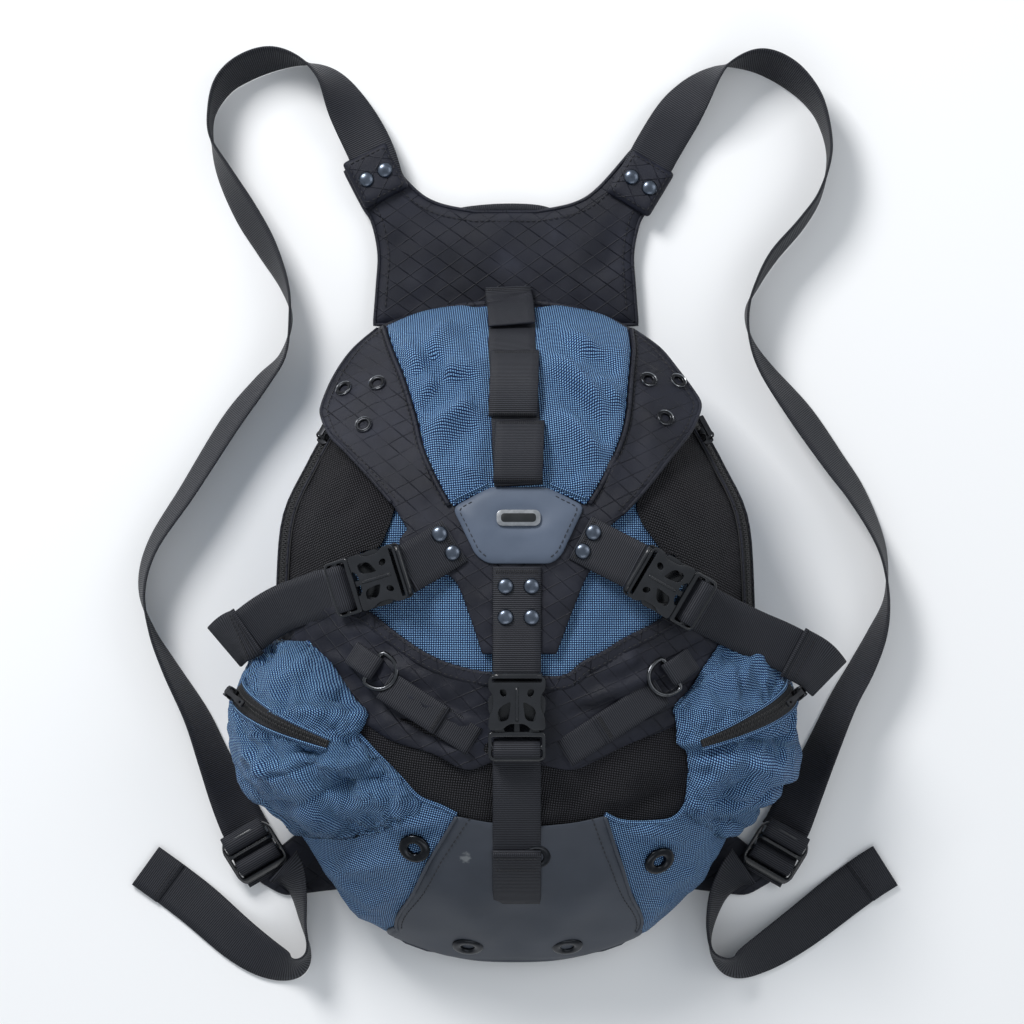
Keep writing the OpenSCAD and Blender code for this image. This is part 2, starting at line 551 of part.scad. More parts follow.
module ring_tabs() {
    color([0.12, 0.12, 0.13]) for (side = [0, 1]) ring_frame(side) difference() {
        union() {
            rotate([90, 0, 0]) cylinder(r = 3.4, h = ring_web_w - 3, center = true);
            translate([-16, -ring_web_w / 2 + 1.5, -3.4]) cube([16, ring_web_w - 3, 2.2]);
        }
        rotate([90, 0, 0]) cylinder(r = ring_wire_r + 0.4, h = ring_web_w, center = true);
    }
}

back_panel();
lumbar_pad();
spine_pad_left();
spine_pad_right();
frame_sheet();
yoke();
haul_loop();
lid_seam();
side_wall(0);  // side_wall_left
side_wall(1);  // side_wall_right
upper_front();
mesh_side(0);  // mesh_side_left
mesh_side(1);  // mesh_side_right
bib();
bib_mesh();
rubber_boot();
lower_side(0);  // lower_side_left
lower_side(1);  // lower_side_right
boot_grommets();
side_grommets();
pod(0);  // pod_left
pod(1);  // pod_right
pod_zip(0);  // pod_zip_left
pod_zip(1);  // pod_zip_right
main_zip(0);  // main_zip_left
main_zip(1);  // main_zip_right
strap(strap_left_route);  // shoulder_strap_left
strap(strap_right_route);  // shoulder_strap_right
strap(tail_left_route);  // strap_tail_left
strap(tail_right_route);  // strap_tail_right
horn_patches();
horn_rivets();
lower_wing(0);  // lower_wing_left
lower_wing(1);  // lower_wing_right
side_straps();
centre_strap();
ring_tabs();
ring_straps();
lid_base();
lid_panel();
daisy_chain();
rubber_plate();
badge();
wing_eyelets();
lid_stubs();
lid_rivets();
buckle_housings();
plug(0);  // plug_left
plug(1);  // plug_right
plug(2);  // plug_centre
pod_slider(0);  // pod_slider_left
pod_slider(1);  // pod_slider_right
pod_pull(0);  // pod_pull_left
pod_pull(1);  // pod_pull_right
zip_slider(0);  // zip_slider_left
zip_slider(1);  // zip_slider_right
strap_ring(0);  // strap_ring_left
strap_ring(1);  // strap_ring_right
ladder_lock(0);  // ladder_lock_left
ladder_lock(1);  // ladder_lock_right
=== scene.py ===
import math

import bmesh
import bpy
import numpy as np
from mathutils.bvhtree import BVHTree
from mathutils import Matrix, Vector, noise
from mathutils.geometry import delaunay_2d_cdt


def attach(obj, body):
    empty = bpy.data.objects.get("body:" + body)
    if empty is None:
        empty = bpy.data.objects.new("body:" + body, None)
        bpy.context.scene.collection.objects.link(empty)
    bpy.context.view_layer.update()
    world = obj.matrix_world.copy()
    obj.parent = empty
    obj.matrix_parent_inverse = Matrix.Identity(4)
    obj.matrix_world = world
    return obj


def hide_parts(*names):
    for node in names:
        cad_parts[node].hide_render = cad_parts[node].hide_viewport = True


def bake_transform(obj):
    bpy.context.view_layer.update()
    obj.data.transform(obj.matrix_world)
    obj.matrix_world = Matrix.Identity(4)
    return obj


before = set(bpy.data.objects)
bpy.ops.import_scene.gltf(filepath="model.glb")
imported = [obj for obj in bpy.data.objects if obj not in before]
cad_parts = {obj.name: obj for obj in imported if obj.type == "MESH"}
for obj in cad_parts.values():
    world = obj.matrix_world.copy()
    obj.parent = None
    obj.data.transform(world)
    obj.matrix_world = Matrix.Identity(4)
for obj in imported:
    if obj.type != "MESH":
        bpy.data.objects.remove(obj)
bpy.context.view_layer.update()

# Shapes are given in millimetres, in the frame of the CAD model, and made in metres.
MM = 0.001

# ---- Camera, lights and floor --------------------------------------------------------------------
CAMERA_HEIGHT = 2.4
CAMERA_AT = (-0.002, 0.0026, CAMERA_HEIGHT)
FRAME_WIDTH = 0.6656
SENSOR = 36.0
FLOOR_HALF = 3.0
FLOOR_GAP = 0.0003
PALE_BLUE = (0.86, 0.93, 1.0, 1)
LIGHT_TARGET = (0, 0, 0.05)


def make_camera():
    """A camera straight above the pack, with the yoke at the top of its view."""
    data = bpy.data.cameras.new("camera")
    data.sensor_width = SENSOR
    data.lens = SENSOR * CAMERA_HEIGHT / FRAME_WIDTH
    data.clip_end = 20
    camera = bpy.data.objects.new("camera", data)
    camera.location = CAMERA_AT
    bpy.context.scene.collection.objects.link(camera)
    bpy.context.scene.camera = camera


def area_light(name, at, size, watts):
    data = bpy.data.lights.new(name, "AREA")
    data.shape = "RECTANGLE"
    data.size, data.size_y = size
    data.energy = watts
    light = bpy.data.objects.new(name, data)
    light.location = at
    light.rotation_euler = (Vector(LIGHT_TARGET) - Vector(at)).to_track_quat("-Z", "Y").to_euler()
    bpy.context.scene.collection.objects.link(light)


def make_lights():
    world = bpy.data.worlds.new("studio")
    world.use_nodes = True
    background = world.node_tree.nodes["Background"]
    background.inputs["Color"].default_value = PALE_BLUE
    background.inputs["Strength"].default_value = 0.47
    bpy.context.scene.world = world
    bpy.context.scene.view_settings.view_transform = "Standard"
    area_light("key", (-1.0, 1.5, 1.4), (0.7, 0.7), 45)
    area_light("fill", (1.5, 0.5, 1.5), (1.2, 1.2), 7)
    area_light("back", (0.2, -1.6, 1.5), (1.4, 0.8), 5)


def make_floor():
    mesh = bpy.data.meshes.new("floor")
    corners = [(x * FLOOR_HALF, y * FLOOR_HALF, 0) for x, y in ((-1, -1), (1, -1), (1, 1), (-1, 1))]
    mesh.from_pydata(corners, [], [(0, 1, 2, 3)])
    floor = bpy.data.objects.new("floor", mesh)
    bpy.context.scene.collection.objects.link(floor)
    floor.location.z = -FLOOR_GAP
    mesh.materials.append(new_material("floor_white", (0.9, 0.9, 0.905), 0.75)[0])


# ---- Materials -----------------------------------------------------------------------------------
def new_material(name, colour, roughness, metallic=0.0, specular=0.5, **sockets):
    mat = bpy.data.materials.new(name)
    mat.use_nodes = True
    nodes, links = mat.node_tree.nodes, mat.node_tree.links
    shader = nodes["Principled BSDF"]
    shader.inputs["Base Color"].default_value = (*colour, 1)
    shader.inputs["Roughness"].default_value = roughness
    shader.inputs["Metallic"].default_value = metallic
    shader.inputs["Specular IOR Level"].default_value = specular
    for key, value in sockets.items():
        shader.inputs[key.replace("_", " ")].default_value = value
    return mat, nodes, links, shader


class Graph:
    """Short names for the nodes of one material."""

    def __init__(self, name, colour, roughness, **sockets):
        self.mat, self.nodes, self.links, self.shader = new_material(name, colour, roughness, **sockets)

    def node(self, kind, **settings):
        n = self.nodes.new(kind)
        for key, value in settings.items():
            setattr(n, key, value)
        return n

    def put(self, socket, value):
        if hasattr(value, "is_output"):
            self.links.new(value, socket)
        else:
            socket.default_value = value

    def math(self, operation, a, b=None, c=None, clamp=False):
        n = self.node("ShaderNodeMath", operation=operation, use_clamp=clamp)
        for k, value in enumerate((a, b, c)):
            if value is not None:
                self.put(n.inputs[k], value)
        return n.outputs[0]

    def uv(self):
        """The piece's own cloth coordinates in millimetres: x, y and both as one vector."""
        source = self.node("ShaderNodeUVMap", uv_map="cloth").outputs[0]
        n = self.node("ShaderNodeVectorMath", operation="MULTIPLY")
        self.links.new(source, n.inputs[0])
        n.inputs[1].default_value = (1 / MM, 1 / MM, 1)
        split = self.node("ShaderNodeSeparateXYZ")
        self.links.new(n.outputs[0], split.inputs[0])
        return split.outputs[0], split.outputs[1], n.outputs[0]

    def position(self):
        return self.node("ShaderNodeTexCoord").outputs["Object"]

    def noise(self, vector, scale, detail=3.0):
        n = self.node("ShaderNodeTexNoise")
        self.put(n.inputs["Vector"], vector)
        n.inputs["Scale"].default_value = scale
        n.inputs["Detail"].default_value = detail
        n.inputs["Roughness"].default_value = 0.55
        return n.outputs["Fac"]

    def ramp(self, value, stops):
        n = self.node("ShaderNodeValToRGB")
        self.put(n.inputs[0], value)
        e = n.color_ramp.elements
        while len(e) < len(stops):
            e.new(0.5)
        for element, (at, colour) in zip(e, stops):
            element.position = at
            element.color = (*colour, 1)
        return n.outputs[0]

    def mix(self, factor, a, b, blend="MIX"):
        n = self.node("ShaderNodeMix", data_type="RGBA", blend_type=blend)
        self.put(n.inputs[0], factor)
        for socket, value in ((n.inputs[6], a), (n.inputs[7], b)):
            self.put(socket, value if hasattr(value, "is_output") else (*value, 1))
        return n.outputs[2]

    def span(self, value, low, high):
        n = self.node("ShaderNodeMapRange")
        self.put(n.inputs[0], value)
        n.inputs[3].default_value = low
        n.inputs[4].default_value = high
        return n.outputs[0]

    def bump(self, height, distance, strength=1.0, under=None):
        n = self.node("ShaderNodeBump")
        self.put(n.inputs["Height"], height)
        n.inputs["Distance"].default_value = distance
        n.inputs["Strength"].default_value = strength
        if under is not None:
            self.links.new(under, n.inputs["Normal"])
        return n.outputs[0]

    def finish(self, colour=None, roughness=None, normal=None):
        for name, value in (("Base Color", colour), ("Roughness", roughness), ("Normal", normal)):
            if value is not None:
                self.links.new(value, self.shader.inputs[name])
        return self.mat


def wave(g, value, turns):
    """A smooth wave from 0 to 1 that repeats turns times in each unit of value."""
    return g.math("MULTIPLY_ADD", g.math("SINE", g.math("MULTIPLY", value, 2 * math.pi * turns)), 0.5, 0.5)


def basket_height(g, x, y, period):
    """The height of a plain weave: warp threads and weft threads pass over each other in turn."""
    a = g.math("SINE", g.math("MULTIPLY", x, math.pi / period))
    b = g.math("SINE", g.math("MULTIPLY", y, math.pi / period))
    product = g.math("MULTIPLY", a, b)
    warp = g.math("ABSOLUTE", a)
    weft = g.math("ABSOLUTE", b)
    over = g.math("GREATER_THAN", product, 0.0)
    n = g.node("ShaderNodeMix", data_type="FLOAT")
    g.put(n.inputs[0], over)
    g.put(n.inputs[2], g.math("POWER", warp, 0.7))
    g.put(n.inputs[3], g.math("POWER", weft, 0.7))
    gaps = g.math("MULTIPLY", g.math("POWER", warp, 0.35), g.math("POWER", weft, 0.35))
    return g.math("MULTIPLY", n.outputs[0], gaps), over


def blue_weave():
    g = Graph("blue_weave", (0.05, 0.13, 0.3), 0.5, specular=0.3)
    x, y, vector = g.uv()
    height, over = basket_height(g, x, y, 1.4)
    wide = g.noise(g.position(), 26, 3)
    fine = g.noise(vector, 1.9, 2)
    # Painted shade in the gaps between threads and a painted highlight on the thread crests: the colour
    # follows the weave's height.
    thread = g.ramp(height, [(0.28, (0.0008, 0.0014, 0.005)), (0.5, (0.01, 0.034, 0.125)),
                             (0.71, (0.08, 0.245, 0.74)), (0.91, (0.46, 0.8, 1.0))])
    # Painted shade: broad darker patches from the wide noise stand in for the shade of wrinkles and folds.
    shade = g.mix(g.span(wide, 0.0, 0.35), thread, (0.045, 0.1, 0.24), "MULTIPLY")
    colour = g.mix(g.math("MULTIPLY", over, 0.4), shade, g.mix(0.5, shade, (0.6, 0.7, 0.9), "MULTIPLY"))
    speck = g.mix(g.span(fine, 0.05, 0.4), colour, (0.02, 0.05, 0.13))
    bump = g.bump(height, 0.0009, 1.0)
    return g.finish(speck, g.span(height, 0.75, 0.34), bump)


def ripstop():
    """Black cloth with a raised grid of diamonds."""
    g = Graph("ripstop", (0.012, 0.013, 0.017), 0.48, specular=0.25)
    x, y, _ = g.uv()
    a = g.math("MULTIPLY_ADD", x, 1 / 17.0, g.math("MULTIPLY", y, 1 / 12.0))
    b = g.math("MULTIPLY_ADD", x, 1 / 17.0, g.math("MULTIPLY", y, -1 / 12.0))

    def line(value):
        off = g.math("ABSOLUTE", g.math("SUBTRACT", g.math("FRACT", value), 0.5))
        return g.math("MULTIPLY_ADD", off, 24.0, -10.9, clamp=True)

    patchy = g.span(g.noise(g.position(), 45, 2), -0.45, 1.4)
    grid = g.math("MULTIPLY", g.math("MAXIMUM", line(a), line(b)), patchy, clamp=True)
    weave, _ = basket_height(g, x, y, 0.62)
    wide = g.noise(g.position(), 30, 4)
    base = g.ramp(wide, [(0.3, (0.0105, 0.0115, 0.019)), (0.62, (0.02, 0.022, 0.035)),
                         (0.8, (0.036, 0.04, 0.06))])
    colour = g.mix(grid, base, (0.004, 0.0045, 0.007))
    # Painted shade: the low parts of the fine weave, between the threads, are darkened.
    thread = g.mix(g.span(weave, 0.0, 0.5), g.mix(0.6, colour, (0.2, 0.2, 0.25), "MULTIPLY"), colour)
    bump = g.bump(weave, 0.0002, 0.5)
    top = g.bump(grid, 0.0006, 0.9, bump)
    rough = g.math("MULTIPLY_ADD", wide, 0.3, g.math("MULTIPLY", grid, -0.12))
    return g.finish(thread, g.math("ADD", rough, 0.3), top)


def webbing():
    """Black nylon webbing with fine ribs across it."""
    g = Graph("webbing", (0.016, 0.016, 0.019), 0.5, specular=0.25)
    x, y, _ = g.uv()
    rib = wave(g, y, 1 / 1.25)
    twill = wave(g, g.math("ADD", x, g.math("MULTIPLY", y, 0.5)), 1 / 0.9)
    wide = g.noise(g.position(), 40, 3)
    height = g.math("MULTIPLY_ADD", twill, 0.3, rib)
    # Painted shade in the rib valleys and lighter rib crests: the colour follows the ribs' height.
    colour = g.ramp(height, [(0.15, (0.001, 0.001, 0.0015)), (0.6, (0.009, 0.0095, 0.013)),
                             (1.0, (0.034, 0.036, 0.046))])
    worn = g.mix(g.span(wide, 0.0, 0.25), colour, (0.03, 0.032, 0.04))
    bump = g.bump(height, 0.00035, 0.7)
    return g.finish(worn, g.span(rib, 0.68, 0.42), bump)


def black_mesh():
    """Coarse black mesh with open holes between heavy threads."""
    g = Graph("black_mesh", (0.01, 0.01, 0.011), 0.6, specular=0.22)
    x, y, _ = g.uv()
    height, _ = basket_height(g, x, y, 1.5)
    wide = g.noise(g.position(), 34, 3)
    # Painted shade in the mesh holes and lighter thread crests: the colour follows the weave's height.
    colour = g.ramp(height, [(0.2, (0.0005, 0.0005, 0.0008)), (0.55, (0.005, 0.005, 0.007)),
                             (0.95, (0.05, 0.049, 0.058))])
    mixed = g.mix(g.span(wide, 0.1, 0.4), colour, (0.002, 0.002, 0.0025))
    bump = g.bump(height, 0.0009, 0.9)
    return g.finish(mixed, g.span(height, 0.8, 0.45), bump)


def spacer_mesh():
    g = Graph("spacer_mesh", (0.015, 0.015, 0.016), 0.8, specular=0.3)
    x, y, _ = g.uv()
    height, _ = basket_height(g, x, y, 2.2)
    # Painted shade in the gaps and lighter crests: the colour follows the weave's height.
    colour = g.ramp(height, [(0.1, (0.002, 0.002, 0.002)), (0.9, (0.03, 0.03, 0.032))])
    return g.finish(colour, None, g.bump(height, 0.001, 0.8))


def rubber(name, colour, lighter, roughness, scuff=None):
    g = Graph(name, colour, roughness, specular=0.3)
    fine = g.noise(g.position(), 1800, 2)
    wide = g.noise(g.position(), 22, 4)
    tint = g.ramp(wide, [(0.25, colour), (0.75, lighter)])
    if scuff is not None:
        away = g.node("ShaderNodeVectorMath", operation="DISTANCE")
        g.put(away.inputs[0], g.position())
        away.inputs[1].default_value = scuff
        worn = g.math("MULTIPLY_ADD", away.outputs["Value"], -420.0, 2.4)
        patchy = g.math("MULTIPLY_ADD", g.noise(g.position(), 420, 3), 3.0, -1.9)
        tint = g.mix(g.math("ADD", worn, patchy, clamp=True), tint, (0.16, 0.17, 0.18))
    bump = g.bump(fine, 0.00008, 0.5)
    smooth_bump = g.bump(wide, 0.001, 0.3, bump)
    return g.finish(tint, g.span(wide, roughness - 0.08, roughness + 0.08), smooth_bump)


def zip_tape():
    g = Graph("zip_tape", (0.012, 0.012, 0.013), 0.65, specular=0.35)
    _, y, _ = g.uv()
    rib = wave(g, y, 1 / 0.7)
    # Painted shade in the rib valleys and lighter rib crests: the colour follows the ribs.
    colour = g.ramp(rib, [(0.0, (0.006, 0.006, 0.007)), (1.0, (0.02, 0.02, 0.022))])
    return g.finish(colour, None, g.bump(rib, 0.0002, 0.5))


def metal(name, colour, roughness):
    g = Graph(name, colour, roughness, metallic=1.0)
    wide = g.noise(g.position(), 300, 3)
    darker = tuple(0.7 * c for c in colour)
    tint = g.ramp(wide, [(0.3, darker), (0.7, colour)])
    bump = g.bump(g.noise(g.position(), 900, 2), 0.00003, 0.3)
    return g.finish(tint, g.span(wide, roughness, roughness + 0.08), bump)


def plastic(name, colour, roughness):
    g = Graph(name, colour, roughness, specular=0.5)
    fine = g.noise(g.position(), 1500, 2)
    wide = g.noise(g.position(), 90, 3)
    lighter = tuple(1.7 * c for c in colour)
    tint = g.ramp(wide, [(0.3, colour), (0.8, lighter)])
    return g.finish(tint, g.span(wide, roughness - 0.05, roughness + 0.1), g.bump(fine, 0.00004, 0.35))


def thread():
    g = Graph("thread", (0.01, 0.01, 0.012), 0.6, specular=0.4)
    twist = g.noise(g.position(), 2600, 2)
    colour = g.ramp(twist, [(0.3, (0.004, 0.004, 0.005)), (0.7, (0.03, 0.03, 0.034))])
    return g.finish(colour, None, g.bump(twist, 0.0001, 0.6))


def make_materials():
    return {
        "blue": blue_weave(),
        "ripstop": ripstop(),
        "webbing": webbing(),
        "mesh": black_mesh(),
        "spacer": spacer_mesh(),
        "boot": rubber("boot_rubber", (0.034, 0.04, 0.053), (0.05, 0.058, 0.075), 0.5,
                       (-0.031, -0.214, 0.104)),
        "plate": rubber("plate_rubber", (0.072, 0.092, 0.13), (0.1, 0.125, 0.175), 0.52),
        "tape": zip_tape(),
        "rivet": metal("rivet_metal", (0.15, 0.175, 0.22), 0.26),
        "grommet": metal("grommet_metal", (0.03, 0.032, 0.036), 0.2),
        "eyelet": metal("eyelet_metal", (0.035, 0.036, 0.04), 0.25),
        "ring": metal("ring_metal", (0.09, 0.093, 0.1), 0.2),
        "zip": metal("zip_metal", (0.045, 0.046, 0.05), 0.3),
        "badge": metal("badge_metal", (0.5, 0.51, 0.53), 0.25),
        "badge_dark": plastic("badge_dark", (0.006, 0.007, 0.008), 0.3),
        "teeth": plastic("zip_teeth", (0.014, 0.014, 0.015), 0.35),
        "plastic": plastic("buckle_plastic", (0.009, 0.0098, 0.012), 0.24),
        "sheet_plastic": plastic("frame_plastic", (0.25, 0.25, 0.25), 0.5),
        "thread": thread(),
        "rim": metal("rim_metal", (0.5, 0.51, 0.53), 0.2),
    }


# ---- Curves and heights, as in the CAD model -----------------------------------------------------
def smooth(points, steps):
    """A smooth line through the points, with so many steps between each two of them."""
    p = np.array(points, float)
    last = len(p) - 1
    out = []
    for i in range(last):
        a, b, c, d = p[max(i - 1, 0)], p[i], p[i + 1], p[min(i + 2, last)]
        for k in range(steps):
            t = k / steps
            out.append(0.5 * (2 * b + (c - a) * t + (2 * a - 5 * b + 4 * c - d) * t ** 2
                              + (3 * b - a - 3 * c + d) * t ** 3))
    out.append(p[-1])
    return np.array(out)


def profile(points):
    line = smooth(points, 4)
    return lambda y: np.interp(y, line[:, 0], line[:, 1])


half_width = profile([
    (-284, 24), (-278, 52), (-264, 84), (-240, 110), (-205, 132), (-160, 146), (-100, 150), (-40, 149),
    (0, 145), (30, 131), (52, 119), (75, 105), (100, 87), (118, 66), (128, 44), (133, 24)])
crown = profile([
    (-284, 15), (-275, 32), (-255, 60), (-225, 90), (-185, 113), (-140, 124), (-90, 128), (-40, 127),
    (0, 122), (40, 110), (80, 88), (105, 66), (122, 42), (133, 22)])
rim = profile([
    (-284, 13), (-255, 24), (-205, 40), (-150, 50), (-80, 56), (-20, 58), (40, 52), (90, 38), (120, 24),
    (133, 16)])
LID_OVER = 26
LAYER_GAP = 2.6
LID_T = 1.6


def arch(f, power):
    return np.clip(1 - np.clip(np.abs(f), 0, 1) ** power, 0, 1) ** 0.6


def front_z(x, y):
    return rim(y) + (crown(y) - rim(y)) * arch(x / half_width(y), 2.5)


def lid_z(x, y):
    low = rim(y) + 5
    return low + (crown(y) - low + LAYER_GAP) * arch(x / (half_width(y) + LID_OVER), 2.4)


def noise_at(x, y, z, scale, seed=0.0, octaves=3):
    """Soft noise between about -1 and 1. Scale is the size of its largest lumps in millimetres."""
    x, y, z = np.broadcast_arrays(np.asarray(x, float), np.asarray(y, float), np.asarray(z, float))
    out = np.empty(x.shape)
    for k in np.ndindex(x.shape):
        v = Vector((x[k] / scale + seed, y[k] / scale - seed, z[k] / scale + 0.37 * seed))
        out[k] = noise.fractal(v, 0.8, 2.1, octaves, noise_basis="PERLIN_ORIGINAL")
    return out


def folds(x, y, strokes):
    """Folds drawn as strokes of (x, y, x, y, width, height): a ridge where the height is above 0."""
    total = np.zeros(np.shape(x))
    for x0, y0, x1, y1, width, height in strokes:
        dx, dy = x1 - x0, y1 - y0
        length = math.hypot(dx, dy)
        t = ((x - x0) * dx + (y - y0) * dy) / length ** 2
        along = np.clip(t, 0, 1)
        off = np.hypot(x - x0 - along * dx, y - y0 - along * dy)
        fade = np.clip(1.25 * np.sin(np.pi * np.clip(t * 0.9 + 0.05, 0, 1)), 0, 1)
        shape = np.exp(-(off / width) ** 2) if height > 0 else np.exp(-np.abs(off / width) ** 1.3)
        total += height * shape * fade
    return total


# ---- Meshes --------------------------------------------------------------------------------------
MATERIALS = make_materials()


def make_piece(name, verts, faces, material, body="pack", replaces=(), uvs=None):
    """A mesh piece from points in millimetres. uvs holds a pair for each point, in millimetres of cloth."""
    mesh = bpy.data.meshes.new(name)
    mesh.from_pydata([tuple(v * MM for v in p) for p in np.asarray(verts, float)], [],
                     [tuple(f) for f in faces])
    if uvs is not None:
        layer = mesh.uv_layers.new(name="cloth")
        uvs = np.asarray(uvs, float) * MM
        loops = np.empty(len(mesh.loops), dtype=int)
        mesh.loops.foreach_get("vertex_index", loops)
        layer.data.foreach_set("uv", uvs[loops].ravel())
    mesh.polygons.foreach_set("use_smooth", [True] * len(mesh.polygons))
    mesh.materials.append(MATERIALS[material])
    mesh.update()
    piece = bpy.data.objects.new(name, mesh)
    bpy.context.scene.collection.objects.link(piece)
    settle(piece, body, replaces)
    return piece


def settle(piece, body, replaces):
    if body is not None:
        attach(piece, body)
    if replaces:
        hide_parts(*replaces)


def outward(piece):
    """Turns every face outwards."""
    bm = bmesh.new()
    bm.from_mesh(piece.data)
    bmesh.ops.recalc_face_normals(bm, faces=bm.faces)
    bm.to_mesh(piece.data)
    bm.free()
    return piece


def get_points(mesh):
    """The mesh's points in metres, one row each."""
    co = np.empty(len(mesh.vertices) * 3)
    mesh.vertices.foreach_get("co", co)
    return co.reshape(-1, 3)


def set_points(piece, points):
    piece.data.vertices.foreach_set("co", points.ravel())
    piece.data.update()


def apply_modifiers(piece):
    """Makes the piece's modifiers part of its mesh."""
    graph = bpy.context.evaluated_depsgraph_get()
    mesh = bpy.data.meshes.new_from_object(piece.evaluated_get(graph))
    old = piece.data
    piece.modifiers.clear()
    piece.data = mesh
    bpy.data.meshes.remove(old)
    return piece


def bevel(piece, width, segments=2, angle=40):
    mod = piece.modifiers.new("bevel", "BEVEL")
    mod.width = width * MM
    mod.segments = segments
    mod.limit_method = "ANGLE"
    mod.angle_limit = math.radians(angle)
    return apply_modifiers(piece)


def lengths_along(line):
    """How far along a line each of its points is."""
    return np.concatenate([[0], np.cumsum(np.linalg.norm(np.diff(line, axis=0), axis=1))])


def at_length(where, lengths, line):
    """The point of a line, or the direction there, at one length along it."""
    return np.array([np.interp(where, lengths, line[:, k]) for k in range(3)])


def resample(line, step):
    """The same line with points about one step apart."""
    line = np.asarray(line, float)
    gaps = np.hypot(*np.diff(line[:, :2], axis=0).T)
    at = np.concatenate([[0], np.cumsum(gaps)])
    count = max(2, int(round(at[-1] / step)) + 1)
    want = np.linspace(0, at[-1], count)
    return np.column_stack([np.interp(want, at, line[:, k]) for k in range(line.shape[1])])


def outline_of(runs, step):
    """One closed outline from runs of points: each run is smooth, with a corner between two runs."""
    out = []
    for run in runs:
        line = resample(smooth(run, 6) if len(run) > 2 else np.array(run, float), step)
        out.extend(line[:-1] if np.allclose(line[-1], runs[(runs.index(run) + 1) % len(runs)][0]) else line)
    return np.array(out)


def inside(points, polygon):
    """Which of the points lie inside the polygon."""
    x, y = points[:, 0], points[:, 1]
    result = np.zeros(len(points), bool)
    a = polygon[-1]
    for b in polygon:
        cross = (b[1] > y) != (a[1] > y)
        with np.errstate(divide="ignore", invalid="ignore"):
            at = (a[0] - b[0]) * (y - b[1]) / (a[1] - b[1]) + b[0]
        result ^= cross & (x < at)
        a = b
    return result


def fill_outline(outline, step, holes=()):
    """Even triangles inside an outline. Returns the points, with the outline first, and the faces."""
    outline = np.asarray(outline, float)
    loops = [outline] + [np.asarray(h, float) for h in holes]
    low, high = outline.min(axis=0), outline.max(axis=0)
    rows = np.arange(low[1] + step / 2, high[1], step * 0.866)
    grid = np.array([(x + (k % 2) * step / 2, y) for k, y in enumerate(rows)
                     for x in np.arange(low[0], high[0], step)]).reshape(-1, 2)
    keep = inside(grid, outline)
    for hole in holes:
        keep &= ~inside(grid, np.asarray(hole))
    for loop in loops:
        for p in loop:
            keep &= np.hypot(grid[:, 0] - p[0], grid[:, 1] - p[1]) > step * 0.62
    points = np.vstack(loops + [grid[keep]])
    edges, start = [], 0
    for loop in loops:
        n = len(loop)
        edges += [(start + k, start + (k + 1) % n) for k in range(n)]
        start += n
    verts, _, faces, *_ = delaunay_2d_cdt([Vector(p) for p in points], edges, [], 1, 1e-5)
    flat = np.array([tuple(v) for v in verts])
    faces = [list(f) for f in faces]
    if holes:
        middles = np.array([flat[f].mean(axis=0) for f in faces])
        good = inside(middles, outline)
        for hole in holes:
            good &= ~inside(middles, np.asarray(hole))
        faces = [f for f, ok in zip(faces, good) if ok]
    return flat, faces


def turning(outline):
    """1 where a closed outline runs anticlockwise, and -1 where it runs clockwise."""
    x, y = outline[:, 0], outline[:, 1]
    return 1 if np.sum(x * np.roll(y, -1) - np.roll(x, -1) * y) > 0 else -1


def edge_distance(points, outline):
    """How far each point is from the nearest point of the outline."""
    edge = np.full(len(points), np.inf)
    for x, y in outline:
        edge = np.minimum(edge, np.hypot(points[:, 0] - x, points[:, 1] - y))
    return edge


def surface_normals(height, x, y, d=0.6):
    dx = (height(x + d, y) - height(x - d, y)) / (2 * d)
    dy = (height(x, y + d) - height(x, y - d)) / (2 * d)
    dx, dy = np.clip(dx, -3, 3), np.clip(dy, -3, 3)
    return unit_rows(np.stack([-dx, -dy, np.ones_like(dx)], axis=-1))


def cloth_lengths(height, x, y):
    """Distances over the surface from the middle line, which are the cloth's own coordinates."""
    steps = 14
    u, v = np.zeros_like(x), np.zeros_like(y)
    for k in range(steps):
        t = (k + 0.5) / steps
        dx = x / steps
        rise = (height(x * (t + 0.5 / steps), y) - height(x * (t - 0.5 / steps), y))
        u += np.sign(x) * np.hypot(dx, rise)
        dy = y / steps
        rise = (height(x, y * (t + 0.5 / steps)) - height(x, y * (t - 0.5 / steps)))
        v += np.sign(y) * np.hypot(dy, rise)
    return np.column_stack([u, v])


def turned(uvs, degrees):
    a = math.radians(degrees)
    return uvs @ np.array([[math.cos(a), math.sin(a)], [-math.sin(a), math.cos(a)]])


def cloth_panel(name, runs, height, lift, thick, material, step, wrinkle, body, replaces, turn):
    """A panel of cloth cut to an outline and laid over a surface."""
    outline = outline_of(runs, step)
    flat, faces = fill_outline(outline, step)
    x, y = flat[:, 0], flat[:, 1]
    edge = edge_distance(flat, outline)
    rise = wrinkle(x, y) * (1 - np.exp(-edge / 3.0))
    n = surface_normals(height, x, y)
    base = np.column_stack([x, y, height(x, y)])
    upper = base + n * (lift + thick + rise)[:, None]
    lower = base + n * (lift + np.minimum(rise, 0))[:, None]
    return shell_piece(name, upper, lower, faces, len(outline), material, body, replaces,
                       turned(cloth_lengths(height, x, y), turn))


